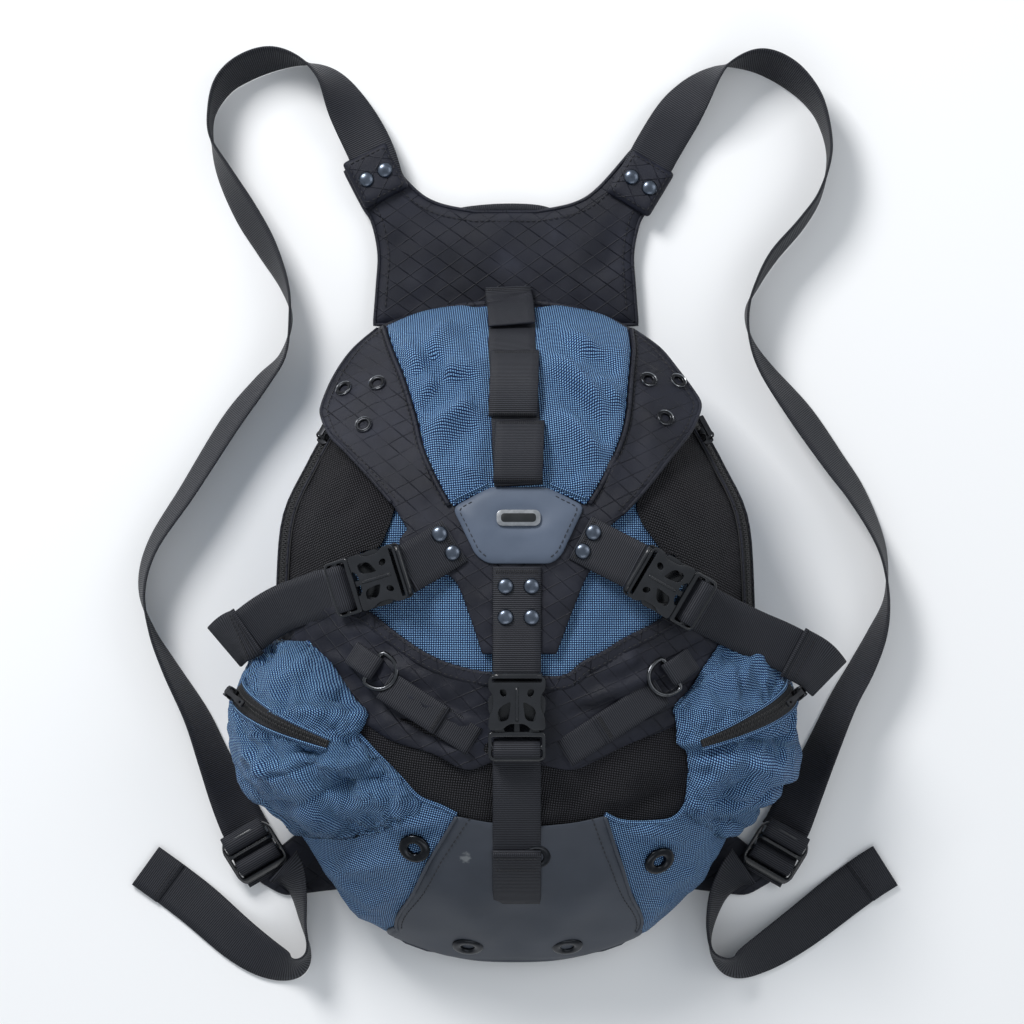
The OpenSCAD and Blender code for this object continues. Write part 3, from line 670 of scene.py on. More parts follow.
def shell_piece(name, upper, lower, faces, border, material, body, replaces, uvs):
    """A closed piece with a rounded edge, from two skins whose first points are its border."""
    n = len(upper)
    middle = (upper[:border] + lower[:border]) / 2
    ahead = np.roll(middle, -1, axis=0) - np.roll(middle, 1, axis=0)
    up = upper[:border] - lower[:border]
    out = unit_rows(np.cross(ahead, up))
    out *= turning(middle)
    thick = np.linalg.norm(up, axis=1, keepdims=True)
    middle = middle + out * thick * 0.35
    verts = np.vstack([upper, lower, middle])
    all_faces = [f for f in faces] + [[n + i for i in reversed(f)] for f in faces]
    for k in range(border):
        j = (k + 1) % border
        all_faces.append([k, 2 * n + k, 2 * n + j, j])
        all_faces.append([2 * n + k, n + k, n + j, 2 * n + j])
    uvs = np.vstack([uvs, uvs, uvs[:border]])
    return outward(make_piece(name, verts, all_faces, material, body, replaces, uvs))


def tube(name, points, radius, material, body="pack", closed=False, sides=8, flat=1.0, up=None,
         replaces=()):
    """A round or flattened cord along points, such as piping, a wire or a line of thread."""
    p = np.asarray(points, float)
    n = len(p)
    along = unit_rows(np.roll(p, -1, axis=0) - np.roll(p, 1, axis=0) if closed else np.gradient(p, axis=0))
    up = np.tile([0, 0, 1.0], (n, 1)) if up is None else np.asarray(up, float)
    side = unit_rows(np.cross(along, up))
    up = np.cross(side, along)
    verts, uvs, faces = [], [], []
    length = lengths_along(p)
    radius = np.broadcast_to(radius, n)
    for k in range(n):
        for s in range(sides):
            a = 2 * math.pi * s / sides
            verts.append(p[k] + side[k] * radius[k] * math.cos(a) + up[k] * radius[k] * flat * math.sin(a))
            uvs.append((radius[k] * a, length[k]))
    rings = n if closed else n - 1
    for k in range(rings):
        j = (k + 1) % n
        for s in range(sides):
            t = (s + 1) % sides
            faces.append([k * sides + s, k * sides + t, j * sides + t, j * sides + s])
    if not closed:
        faces += [list(range(sides)), [(n - 1) * sides + s for s in range(sides)]]
    return outward(make_piece(name, verts, faces, material, body, replaces, uvs))


WEB_W = 30.0
WEB_T = 1.6


def ribbon_mesh(centres, across, normals, width, thick, columns=6):
    """Points, faces and cloth coordinates of a flat ribbon with rounded edges."""
    centres, across, normals = (np.asarray(a, float) for a in (centres, across, normals))
    n = len(centres)
    width = np.broadcast_to(width, n)
    half = thick / 2
    section = [(-1, 0)] + [(-1 + 2 * k / columns, 1) for k in range(columns + 1)]
    section += [(1, 0)] + [(1 - 2 * k / columns, -1) for k in range(columns + 1)]
    m = len(section)
    verts, uvs = [], []
    length = lengths_along(centres)
    for k in range(n):
        for s, h in section:
            reach = (width[k] / 2 if h == 0 else width[k] / 2 - half * 0.8) * s
            verts.append(centres[k] + across[k] * reach + normals[k] * h * half)
            uvs.append((reach + h * 2, length[k]))
    faces = []
    for k in range(n - 1):
        for s in range(m):
            t = (s + 1) % m
            faces.append([k * m + s, (k + 1) * m + s, (k + 1) * m + t, k * m + t])
    faces += [list(range(m)), [(n - 1) * m + s for s in range(m)]]
    return verts, faces, uvs


def unit_rows(v):
    v = np.asarray(v, float)
    return v / np.maximum(np.linalg.norm(v, axis=-1, keepdims=True), 1e-9)


def across_line(line, normals):
    """Directions square to a line and to its normals."""
    return unit_rows(np.cross(normals, np.gradient(line, axis=0)))


def ribbon_piece(name, centres, across, normals, width, thick, material="webbing", body="pack", replaces=(),
                 columns=6):
    verts, faces, uvs = ribbon_mesh(centres, across, normals, width, thick, columns)
    return outward(make_piece(name, verts, faces, material, body, replaces, uvs))


def wound_webbing(name, path, place, width, thick, body, replaces=()):
    """Webbing wound round a bar. Its path is in (along, height) from the bar's place."""
    centres = moved(smooth([(a, 0, h) for a, h in path], 5), place)
    across = np.tile(np.array(place)[:3, 1], (len(centres), 1))
    along = unit_rows(np.gradient(centres, axis=0))
    normals = unit_rows(np.cross(along, across))
    return ribbon_piece(name, centres, across, normals, width, thick, "webbing", body, replaces)


def webbing_frames(route, steps=8, width=WEB_W, thick=WEB_T):
    """Centres, across and normals of webbing, from points of (x, y, lean, height of its lower edge)."""
    p = smooth(route, steps)
    along = unit_rows(np.gradient(p[:, [0, 1, 3]], axis=0))
    side = unit_rows(np.column_stack([-along[:, 1], along[:, 0], np.zeros(len(p))]))
    lean = np.radians(p[:, 2])
    across = side * np.cos(lean)[:, None] + np.column_stack([np.zeros((len(p), 2)), np.sin(lean)])
    rise = p[:, 3] + width / 2 * np.abs(np.sin(lean)) + thick / 2 * np.abs(np.cos(lean))
    centres = np.column_stack([p[:, :2], rise])
    normals = unit_rows(np.cross(along, across))
    return centres, across, normals


def webbing_piece(name, route, body="pack", replaces=(), width=WEB_W, thick=WEB_T, steps=8):
    centres, across, normals = webbing_frames(route, steps, width, thick)
    return ribbon_piece(name, centres, across, normals, width, thick, "webbing", body, replaces)


def surface_ribbon(name, line, height, lift, width, thick, body="pack", replaces=()):
    """Webbing laid along a line over a surface. It stays straight across its width."""
    p = resample(smooth(line, 6) if len(line) > 2 else np.array(line, float), 3.0)
    z = height(p[:, 0], p[:, 1]) + (p[:, 2] if p.shape[1] > 2 else 0) + lift + thick / 2
    centres = np.column_stack([p[:, 0], p[:, 1], z])
    along = unit_rows(np.gradient(centres, axis=0))
    side = unit_rows(np.column_stack([-along[:, 1], along[:, 0], np.zeros(len(p))]))
    reach = width / 2
    left = centres[:, :2] - side[:, :2] * reach
    right = centres[:, :2] + side[:, :2] * reach
    tilt = (height(right[:, 0], right[:, 1]) - height(left[:, 0], left[:, 1])) / width
    across = unit_rows(side + np.column_stack([np.zeros((len(p), 2)), np.clip(tilt, -1.2, 1.2)]))
    normals = unit_rows(np.cross(along, across))
    return ribbon_piece(name, centres, across, normals, width, thick, "webbing", body, replaces)


# ---- Places and small parts ----------------------------------------------------------------------
def aim(at, direction, roll=0.0):
    """The place of a piece whose own X runs along the direction, with its Z as near to up as it can be."""
    x = Vector(direction).normalized()
    y = Vector((-x.y, x.x, 0)).normalized()
    place = Matrix((x, y, x.cross(y))).transposed().to_4x4()
    place.translation = Vector(at)
    return place @ Matrix.Rotation(math.radians(roll), 4, "X")


def stand_on(at, normal):
    """The place of a round piece that stands on a surface."""
    place = Vector((0, 0, 1)).rotation_difference(Vector(normal)).to_matrix().to_4x4()
    place.translation = Vector(at)
    return place


def moved(points, place):
    p = np.asarray(points, float)
    m = np.array(place)
    return p @ m[:3, :3].T + m[:3, 3]


def crisp(piece, angle=38):
    """Smooth shading, except over edges that turn more than the angle."""
    bm = bmesh.new()
    bm.from_mesh(piece.data)
    for edge in bm.edges:
        edge.smooth = len(edge.link_faces) != 2 or edge.calc_face_angle(0) < math.radians(angle)
    bm.to_mesh(piece.data)
    bm.free()
    return piece


def solid_plate(name, outline, low, high, material, place=None, body="pack", holes=(), edge=0.5,
                replaces=(), step=60.0, crown_by=None, segments=3):
    """A plate cut to an outline, with holes and rounded edges. crown_by(x, y) lifts its upper face."""
    loops = [np.asarray(outline, float)] + [np.asarray(h, float) for h in holes]
    flat, faces = fill_outline(loops[0], step, loops[1:])
    n = len(flat)
    top = np.full(n, float(high))
    if crown_by is not None:
        top += crown_by(flat[:, 0], flat[:, 1])
    verts = np.vstack([np.column_stack([flat, top]), np.column_stack([flat, np.full(n, float(low))])])
    all_faces = [f for f in faces] + [[n + i for i in reversed(f)] for f in faces]
    start = 0
    for loop in loops:
        m = len(loop)
        all_faces += [[start + k, n + start + k, n + start + (k + 1) % m, start + (k + 1) % m]
                      for k in range(m)]
        start += m
    if place is not None:
        verts = moved(verts, place)
    piece = outward(make_piece(name, verts, all_faces, material, body, replaces, np.vstack([flat, flat])))
    if edge:
        piece = bevel(piece, edge, segments, 50)
    return crisp(piece, 30)


def rounded(points, radius, steps=5):
    """An outline with its corners rounded. Each point may carry its own radius as a third number."""
    out = []
    n = len(points)
    for k in range(n):
        a, b, c = (np.array(points[j % n][:2], float) for j in (k - 1, k, k + 1))
        r = points[k][2] if len(points[k]) > 2 else radius
        d0, d1 = a - b, c - b
        l0, l1 = np.linalg.norm(d0), np.linalg.norm(d1)
        cut = min(r, l0 * 0.45, l1 * 0.45)
        p0, p1 = b + d0 / l0 * cut, b + d1 / l1 * cut
        for s in range(steps + 1):
            t = s / steps
            out.append(tuple((1 - t) ** 2 * p0 + 2 * t * (1 - t) * b + t * t * p1))
    return out


def box_outline(x0, x1, y0, y1, radius, steps=5):
    return rounded([(x0, y0), (x1, y0), (x1, y1), (x0, y1)], radius, steps)


def oval(cx, cy, rx, ry, turn=0.0, count=20):
    a = np.linspace(0, 2 * np.pi, count, endpoint=False)
    t = math.radians(turn)
    x, y = rx * np.cos(a), ry * np.sin(a)
    return [(cx + i * math.cos(t) - j * math.sin(t), cy + i * math.sin(t) + j * math.cos(t))
            for i, j in zip(x, y)]


ROUND_SIDES = 36


def lathe(name, profile_points, material, places, body="pack", replaces=()):
    """Round parts turned from one profile of (radius, height), one at each place."""
    section = np.array(profile_points, float)
    m = len(section)
    verts, faces = [], []
    for place in places:
        start = len(verts)
        ring = []
        for k in range(ROUND_SIDES):
            a = 2 * math.pi * k / ROUND_SIDES
            ring.append(np.column_stack([section[:, 0] * math.cos(a), section[:, 0] * math.sin(a),
                                         section[:, 1]]))
        verts.extend(moved(np.vstack(ring), place))
        for k in range(ROUND_SIDES):
            j = (k + 1) % ROUND_SIDES
            for i in range(m):
                h = (i + 1) % m
                faces.append([start + k * m + i, start + j * m + i, start + j * m + h, start + k * m + h])
    piece = make_piece(name, verts, faces, material, body, replaces)
    bm = bmesh.new()
    bm.from_mesh(piece.data)
    bmesh.ops.remove_doubles(bm, verts=bm.verts, dist=1e-7)
    bmesh.ops.dissolve_degenerate(bm, edges=bm.edges, dist=1e-7)
    bmesh.ops.recalc_face_normals(bm, faces=bm.faces)
    bm.to_mesh(piece.data)
    bm.free()
    return crisp(piece, 50)


RIVET_R = 4.8
SEAM_STEP = 2.0
GROMMET_R, GROMMET_HOLE, GROMMET_H = 10, 4, 2.6


def dome_profile(height):
    """A rivet's cap: a low dome over a thin rounded lip."""
    lip = 0.7
    arc = [(RIVET_R * math.sin(t), lip + (height - lip) * math.cos(t))
           for t in np.linspace(0, math.pi / 2, 12)]
    return arc + [(RIVET_R + 0.25, lip * 0.6), (RIVET_R + 0.2, 0.15), (RIVET_R - 0.2, 0), (0, 0)]


def grommet_profile(radius, hole, height):
    """A rolled ring with a sunken throat."""
    mid = (radius + hole) / 2
    half = (radius - hole) / 2
    arc = [(mid + half * math.cos(t), height * 0.35 + height * 0.65 * math.sin(t))
           for t in np.linspace(0, math.pi, 14)]
    return [(radius, 0)] + arc + [(hole, -1.6), (hole + 0.8, -1.6), (hole + 0.8, 0)]


def spindles(name, pairs, radius, material="thread", body="pack", lift=0.35):
    """Stitches: each pair is the two ends of one stitch, with the surface's normal there."""
    sides = 5
    verts, faces = [], []
    for a, b, up in pairs:
        a, b, up = np.asarray(a, float), np.asarray(b, float), np.asarray(up, float)
        along = unit_rows(b - a)
        side = unit_rows(np.cross(along, up))
        start = len(verts)
        for t, r, h in ((0.0, 0.35, -0.4), (0.22, 0.95, 0.55), (0.78, 0.95, 0.55), (1.0, 0.35, -0.4)):
            c = a + (b - a) * t + up * h * lift
            for s in range(sides):
                g = 2 * math.pi * s / sides
                verts.append(c + (side * math.cos(g) + up * math.sin(g)) * radius * r)
        for k in range(3):
            for s in range(sides):
                t = (s + 1) % sides
                faces.append([start + k * sides + s, start + k * sides + t,
                              start + (k + 1) * sides + t, start + (k + 1) * sides + s])
        faces.append([start + s for s in range(sides)])
        faces.append([start + 3 * sides + s for s in reversed(range(sides))])
    return outward(make_piece(name, verts, faces, material, body))


def seam_pairs(points, normals, length=2.6, gap=1.1):
    """The stitches of one seam along a line of points."""
    p, n = np.asarray(points, float), np.asarray(normals, float)
    at = lengths_along(p)
    out, t = [], gap / 2
    while t + length < at[-1]:
        mid = at_length(t + length / 2, at, n)
        out.append((at_length(t, at, p), at_length(t + length, at, p), unit_rows(mid)))
        t += length + gap
    return out


def cross_stitches(centre, across, normal, reach, length=1.9):
    """A row of stitches across a strap, as far as reach on each side of its centre."""
    ends = np.array([centre - across * reach, centre + across * reach])
    return seam_pairs(ends, np.array([normal, normal]), length, 0.6)


def on_surface(height, line, lift):
    """Points over a surface along a line, and the normals there."""
    p = resample(smooth(line, 6) if len(line) > 2 else np.array(line, float), SEAM_STEP)
    n = surface_normals(height, p[:, 0], p[:, 1])
    return np.column_stack([p[:, :2], height(p[:, 0], p[:, 1])]) + n * lift, n


def tack_pairs(centre, across, along, normal, width, length, count):
    """A bar tack: short stitches side by side."""
    c, x, y = (np.asarray(v, float) for v in (centre, across, along))
    return [(c + x * w - y * length / 2, c + x * w + y * length / 2, normal)
            for w in np.linspace(-width / 2, width / 2, count)]


# ---- The bag's body ------------------------------------------------------------------------------
WALL_SLOPE = 18
WALL_FOOT = 12.6
RIM_S = 150.0        # s is 0 on the middle line, 150 on the rim and 225 at the back panel


def bag_point(u, y):
    """A point of the bag's skin. u is 0 on the middle line, 1 on the rim and 1.5 at the back panel."""
    u, y = np.broadcast_arrays(np.asarray(u, float), np.asarray(y, float))
    side, a = np.sign(u), np.abs(u)
    w = half_width(y)
    f = np.sin(np.radians(90) * np.minimum(a, 1))
    t = np.clip(a - 1, 0, 0.5) * 2
    front = rim(y) + (crown(y) - rim(y)) * arch(f, 2.5)
    foot = np.minimum(WALL_FOOT, rim(y) - 1)
    belly = 3.0 * np.sin(np.pi * t) * np.clip((rim(y) - foot) / 20, 0, 1)
    x = side * np.where(a <= 1, w * f, w - WALL_SLOPE * t * half_width(y) / 150 + belly)
    return np.stack([x, y, np.where(a <= 1, front, rim(y) + (foot - rim(y)) * t)], axis=-1)


def bag_normal(u, y):
    d = 0.012
    du = bag_point(u + d, y) - bag_point(u - d, y)
    dy = bag_point(u, y + d * 150) - bag_point(u, y - d * 150)
    return unit_rows(np.cross(du, dy))


def s_at(x, y):
    """The place across the bag, from 0 to 150, of a point seen from the front."""
    f = np.clip(np.abs(x) / half_width(y), 0, 1)
    return float(np.sign(x) * RIM_S * np.degrees(np.arcsin(f)) / 90)


def over(points):
    """Points seen from the front, as places on the bag's skin."""
    return [(s_at(x, y), y) for x, y in points]


def skin_lengths(u, y):
    """Cloth coordinates on the bag's skin: distances over it from the middle line and from its waist."""
    steps = 24
    across, up = np.zeros(len(u)), np.zeros(len(u))
    last = bag_point(np.zeros_like(u), y)
    for k in range(1, steps + 1):
        here = bag_point(u * k / steps, y)
        across += np.linalg.norm(here - last, axis=1)
        last = here
    waist = -75.0
    last = bag_point(u, np.full_like(y, waist))
    for k in range(1, steps + 1):
        here = bag_point(u, waist + (y - waist) * k / steps)
        up += np.linalg.norm(here - last, axis=1)
        last = here
    return np.column_stack([across * np.sign(u), up * np.sign(y - waist)])


# Folds in the cloth: (x, y, x, y, width, height), seen from the front
BLUE_FOLDS = [
    (-46, -60, -24, -92, 4.0, 1.6), (-62, -55, -40, -86, 5.0, -1.6), (-78, -52, -60, -74, 5.0, 1.5),
    (60, -48, 34, -84, 4.5, 1.6), (72, -52, 50, -80, 4.5, -1.5), (34, -60, 28, -92, 4.0, -1.3),
    (-84, 2, -66, -18, 4.0, 1.2), (80, 4, 70, -16, 4.0, 1.2)]
LOWER_FOLDS = [
    (-122, -226, -70, -214, 6, 3.0), (-128, -214, -84, -196, 6, -3.5), (-100, -250, -64, -232, 6, 2.6),
    (-84, -262, -62, -244, 5, -2.4), (-78, -192, -44, -188, 4, 2.6), (-70, -200, -46, -196, 3.5, -2.6),
    (-114, -238, -90, -262, 7, 2.4), (-56, -200, -50, -216, 4, 2.2),
    (122, -226, 78, -232, 6, 2.6), (110, -204, 70, -192, 5, 3.0), (106, -212, 66, -200, 4, -3.0),
    (96, -236, 78, -262, 6, 2.6), (70, -222, 76, -244, 5, -2.4), (112, -240, 90, -258, 6, -2.2)]
MESH_FOLDS = [
    (-120, -4, -90, 10, 7, -1.8), (-112, 20, -96, 30, 6, 1.4), (-100, -10, -88, 14, 6, 1.4),
    (118, -6, 90, 8, 7, -1.8), (108, 18, 94, 28, 6, 1.4), (98, -10, 88, 12, 6, 1.4)]
BIB_FOLDS = [
    (-86, -100, -30, -128, 4.5, 2.6), (-92, -110, -34, -142, 3.5, -2.4), (-84, -88, -50, -102, 4, 2.0),
    (-60, -110, -20, -124, 3.5, -1.6), (-48, -150, -22, -138, 4, 2.2), (-78, -136, -44, -152, 5, 2.4),
    (90, -96, 40, -116, 4.5, 2.4), (94, -106, 36, -138, 3.5, -2.4), (80, -84, 50, -98, 4, 2.0),
    (66, -112, 26, -124, 3.5, -1.6), (84, -128, 50, -142, 5, 2.2), (60, -150, 34, -140, 4, 2.0)]
LOW_MESH_FOLDS = [
    (-70, -150, -30, -180, 6, 3.0), (-52, -146, -20, -170, 4, -2.2), (-40, -178, -16, -186, 4, 2.2),
    (104, -168, 60, -186, 6, -4.0), (100, -150, 56, -160, 6, 2.6), (76, -176, 40, -168, 5, 2.4),
    (52, -164, 26, -180, 5, -2.2), (36, -176, 12, -186, 5, 1.8)]


def relief(strokes, rough, scale, seed):
    """Folds along strokes, with soft noise all over."""
    return lambda p: (folds(p[:, 0], p[:, 1], strokes)
                      + rough * noise_at(p[:, 0], p[:, 1], p[:, 2], scale, seed))


def skin_panel(name, runs, lift, thick, material, step=3.2, shape=None, replaces=(), turn=0.0):
    """A panel of the bag's skin. Its outline is in runs of (s, y), with corners between them."""
    outline = outline_of(runs, step)
    flat, faces = fill_outline(outline, step)
    u, y = flat[:, 0] / RIM_S, flat[:, 1]
    edge = edge_distance(flat, outline)
    base, n = bag_point(u, y), bag_normal(u, y)
    rise = np.zeros(len(flat))
    if shape is not None:
        rise = shape(base) * (1 - np.exp(-(edge + 1) / 4.0))
    upper = base + n * (lift + thick + rise)[:, None]
    lower = base + n * (lift + rise)[:, None]
    return shell_piece(name, upper, lower, faces, len(outline), material, "pack", replaces,
                       turned(skin_lengths(u, y), turn))


def skin_line(points, lift):
    """A line on the bag's skin, and the normals there. Points are (s, y)."""
    p = resample(smooth(points, 6) if len(points) > 2 else np.array(points, float), SEAM_STEP)
    u, y = p[:, 0] / RIM_S, p[:, 1]
    n = bag_normal(u, y)
    return bag_point(u, y) + n * lift, n


def piping(name, points, radius, lift, material, shape=None):
    """A rolled edge along a seam."""
    line, n = skin_line(points, lift)
    if shape is not None:
        line = line + n * shape(line)[:, None]
    tube(name, line, radius, material, up=n, sides=10)


def seam(name, lines, body="pack", radius=0.32):
    pairs = []
    for line, n in lines:
        pairs += seam_pairs(line, n)
    spindles(name, pairs, radius, body=body)


TOP_Y, BOTTOM_Y = 131, -282
BIB_TOP_LEFT = [(-104, -54), (-90, -60), (-68, -77), (-51, -87), (-38, -92), (-20, -96), (0, -97)]
BIB_TOP_RIGHT = [(0, -97), (22, -99), (34, -97), (44, -89), (56, -83), (69, -75), (85, -67), (100, -58)]
BOOT_LEFT = [(-36, -185), (-50, -208), (-65, -238), (-74, -262)]
BOOT_RIGHT = [(55, -185), (64, -212), (73.5, -240), (77, -264)]
BOOT_TOP = [(-36, -185), (-14, -189), (12, -191), (36, -189), (55, -185)]


def make_upper_body():
    soft = relief(BLUE_FOLDS, 0.9, 26, 3.0)

    def blue(p):
        sides = np.clip((np.abs(p[:, 0]) - 76) / 10, 0, 1) * np.clip((p[:, 1] + 60) / 10, 0, 1)
        return soft(p) * (1 - sides) - 1.6 * sides

    low = over(BIB_TOP_LEFT)[:-1] + over(BIB_TOP_RIGHT)
    low = [(s, y - 8) for s, y in low]
    skin_panel("upper_front", [
        low, [low[-1], (140, -62)], [(140, -62), (140, 20), (140, 80), (140, 124)],
        [(140, 124), (90, 131), (0, 132), (-90, 131), (-140, 124)],
        [(-140, 124), (-140, 80), (-140, 20), (-140, -62)], [(-140, -62), low[0]]],
        -1.0, 1.0, "blue", 4.2, blue, ("upper_front",))
    mesh = relief(MESH_FOLDS, 1.0, 22, 9.0)
    for name, side, inner in (
            ("mesh_side_left", -1, [(-106, 66), (-98, 42), (-86, 24), (-76, 8), (-77, -2), (-80, -10),
                                    (-85, -19), (-98, -24), (-106, -50)]),
            ("mesh_side_right", 1, [(104, 62), (94, 40), (84, 24), (76, 8), (78, -2), (83, -10), (92, -22),
                                    (100, -26), (106, -54)])):
        inner = over(inner)
        rim_line = [(side * 132, -66), (side * 131, -30), (side * 130, 10), (side * 128, 48),
                    (side * 126, 66)]
        skin_panel(name, [inner, [inner[-1], rim_line[0]], rim_line, [rim_line[-1], inner[0]]],
                   0.3, 1.3, "mesh", 3.0, mesh, (name,), 20 * side)
        piping(name.replace("mesh_side", "mesh_edge"), inner, 1.0, 1.3, "mesh", mesh)


def make_bib():
    wrinkles = relief(BIB_FOLDS, 1.3, 15, 5.0)

    def shape(p):
        """Gathers in the bib, with a limit on how far they rise and sink."""
        return np.clip(1.45 * wrinkles(p), -2.2, 4.6)

    top = over(BIB_TOP_LEFT)[:-1] + over(BIB_TOP_RIGHT)
    low = over([(112, -122), (92, -132), (70, -140), (50, -150), (34, -156), (12, -152), (-10, -150),
                (-30, -156), (-50, -146), (-76, -138), (-92, -128), (-110, -118)])
    skin_panel("bib", [top, [top[-1], (136, -60), (138, -84), (134, -110), low[0]], low,
                       [low[-1], (-134, -108), (-138, -84), (-136, -60), top[0]]],
               1.2, 1.1, "ripstop", 2.6, shape, ("bib",), 12)
    band = [(s, y - 3.5) for s, y in top]
    line, n = skin_line(band, 2.4)
    line = line + n * (shape(line) * 0.55)[:, None]
    ribbon_piece("bib_binding", line, across_line(line, n), n, 9.0, 1.3, "ripstop")
    above, n1 = skin_line([(s, y - 0.6) for s, y in top], 3.2)
    below, n2 = skin_line([(s, y - 6.4) for s, y in top], 3.2)
    seam("bib_seams", [(above + n1 * (shape(above) * 0.55)[:, None], n1),
                       (below + n2 * (shape(below) * 0.55)[:, None], n2)])
    loose = relief(LOW_MESH_FOLDS, 1.4, 20, 12.0)

    def mesh(p):
        return np.minimum(loose(p), 1.4)

    skin_panel("bib_mesh", [over([(-104, -112), (-60, -128), (0, -136), (60, -130), (110, -116)]),
                            over([(110, -116), (118, -140), (116, -168), (108, -190)]),
                            over([(108, -190), (76, -194), (55, -191), (36, -194), (12, -196), (-14, -194),
                                  (-36, -190), (-56, -186), (-100, -170)]),
                            over([(-100, -170), (-112, -150), (-104, -112)])],
               -0.2, 1.4, "mesh", 3.0, mesh, ("bib_mesh",), 8)


def boot_shape(p):
    """A crease that runs up from the boot's lowest point in a V, and a slight sag."""
    x, y = p[:, 0] - 1, p[:, 1]
    vee = folds(x, y, [(0, -283, 60, -214, 13, 2.4), (0, -283, -58, -216, 13, 2.2),
                       (0, -284, 0, -236, 15, -2.4)])
    return vee + 0.8 * noise_at(p[:, 0], y, p[:, 2], 40, 31.0, 2)


def make_boot():
    left, right, top = over(BOOT_LEFT), over(BOOT_RIGHT), over(BOOT_TOP)
    low = [right[-1], (149, -271), (149, -278), (104, -282.4), (0, -283.6), (-104, -282.4), (-149, -278),
           (-149, -270), left[-1]]
    skin_panel("rubber_boot", [top, right, low, left[::-1]], 2.4, 1.3, "boot", 2.8, boot_shape,
               ("rubber_boot",))
    stitches = []
    for name, line in (("boot_edge_left", left), ("boot_edge_right", right)):
        piping(name, line, 1.2, 3.4, "boot", boot_shape)
        inner = [(s - math.copysign(6.0, s), y) for s, y in line]
        p, n = skin_line(inner, 3.9)
        stitches.append((p + n * boot_shape(p)[:, None], n))
    seam("boot_stitches", stitches, radius=0.3)
    p, n = skin_line(low, 2.8)
    ribbon_piece("boot_lip", p, across_line(p, n), n, 7.0, 1.4, "boot")


def make_lower_sides():
    loose = relief(LOWER_FOLDS, 1.6, 20, 40.0)

    def shape(p):
        return np.maximum(loose(p), -1.2)

    for name, side, boot, inner in (
            ("lower_side_left", -1, BOOT_LEFT,
             [(-36, -184), (-46, -179), (-60, -173), (-72, -160), (-86, -146), (-98, -134), (-112, -128)]),
            ("lower_side_right", 1, BOOT_RIGHT,
             [(55, -184), (66, -189), (84, -190), (98, -188), (106, -178), (108, -160), (112, -140),
              (118, -130)])):
        outer = [(side * 151, -130), (side * 152, -180), (side * 152, -230), (side * 150, -276)]
        edge = over(boot)
        inner = over(inner)
        skin_panel(name, [inner, [inner[-1], outer[0]], outer, [outer[-1], edge[-1]], edge[::-1]],
                   1.7, 1.3, "blue", 3.0, shape, (name,), -14 * side)
        piping(name.replace("lower_side", "lower_edge"), inner, 1.6, 2.2, "blue")


def make_side_walls():
    for name, side in (("side_wall_left", -1), ("side_wall_right", 1)):
        ys = np.linspace(TOP_Y, BOTTOM_Y, 16)
        top = [(side * 146, y) for y in ys]
        foot = [(side * 224, y) for y in ys[::-1]]
        skin_panel(name, [top, [top[-1], foot[0]], foot, [foot[-1], top[0]]], -0.9, 1.2, "blue", 4.4,
                   relief([], 2.2, 30, 50.0 + side), (name,))
        piping(name.replace("wall", "piping"), [(side * 150, y) for y in np.linspace(126, 52, 8)], 1.2,
               0.6, "ripstop")
        piping(name.replace("wall", "foot_piping"), [(side * 223, y) for y in ys], 1.6, 0.2, "ripstop")


def make_main_zips():
    """A coil zip round each shoulder of the bag, on a tape between two stitched edges."""
    pairs = []
    for name, side in (("main_zip_left", -1), ("main_zip_right", 1)):
        line = [(side * 127, y) for y in np.linspace(-66, 60, 10)]
        p, n = skin_line(line, 1.7)
        across = across_line(p, n)
        ribbon_piece(name, p, across, n, 17.0, 1.0, "tape", "pack", (name,), 8)
        coil("%s_coil" % name, p + n * 0.7, across, n)
        for offset in (-7.0, 7.0):
            edge = p + across * offset + n * 0.8
            tube("%s_cord_%s" % (name, "in" if offset < 0 else "out"), edge, 0.8, "ripstop", up=n)
            pairs.append((edge - across * math.copysign(1.8, offset) + n * 0.1, n))
    seam("main_zip_seams", pairs, radius=0.26)


COIL_HALF = 2.9
COIL_PITCH = 1.25
COIL_WIRE = 0.42


def coil(name, line, across, normals):
    """The two rows of a coil zip's teeth, which meet in the middle."""
    at = lengths_along(line)
    pairs = []
    for k in range(int(at[-1] / COIL_PITCH)):
        where = (k + 0.5) * COIL_PITCH
        spot, side, up = (at_length(where, at, v) for v in (line, across, normals))
        along = np.cross(up, side)
        lean = 0.3 * (1 if k % 2 else -1)
        for s in (-1, 1):
            a = spot + side * s * COIL_HALF - along * lean
            b = spot - side * s * 0.35 + along * lean
            pairs.append((a, b, unit_rows(up)))
    spindles(name, pairs, COIL_WIRE, "teeth", "pack", 0.5)


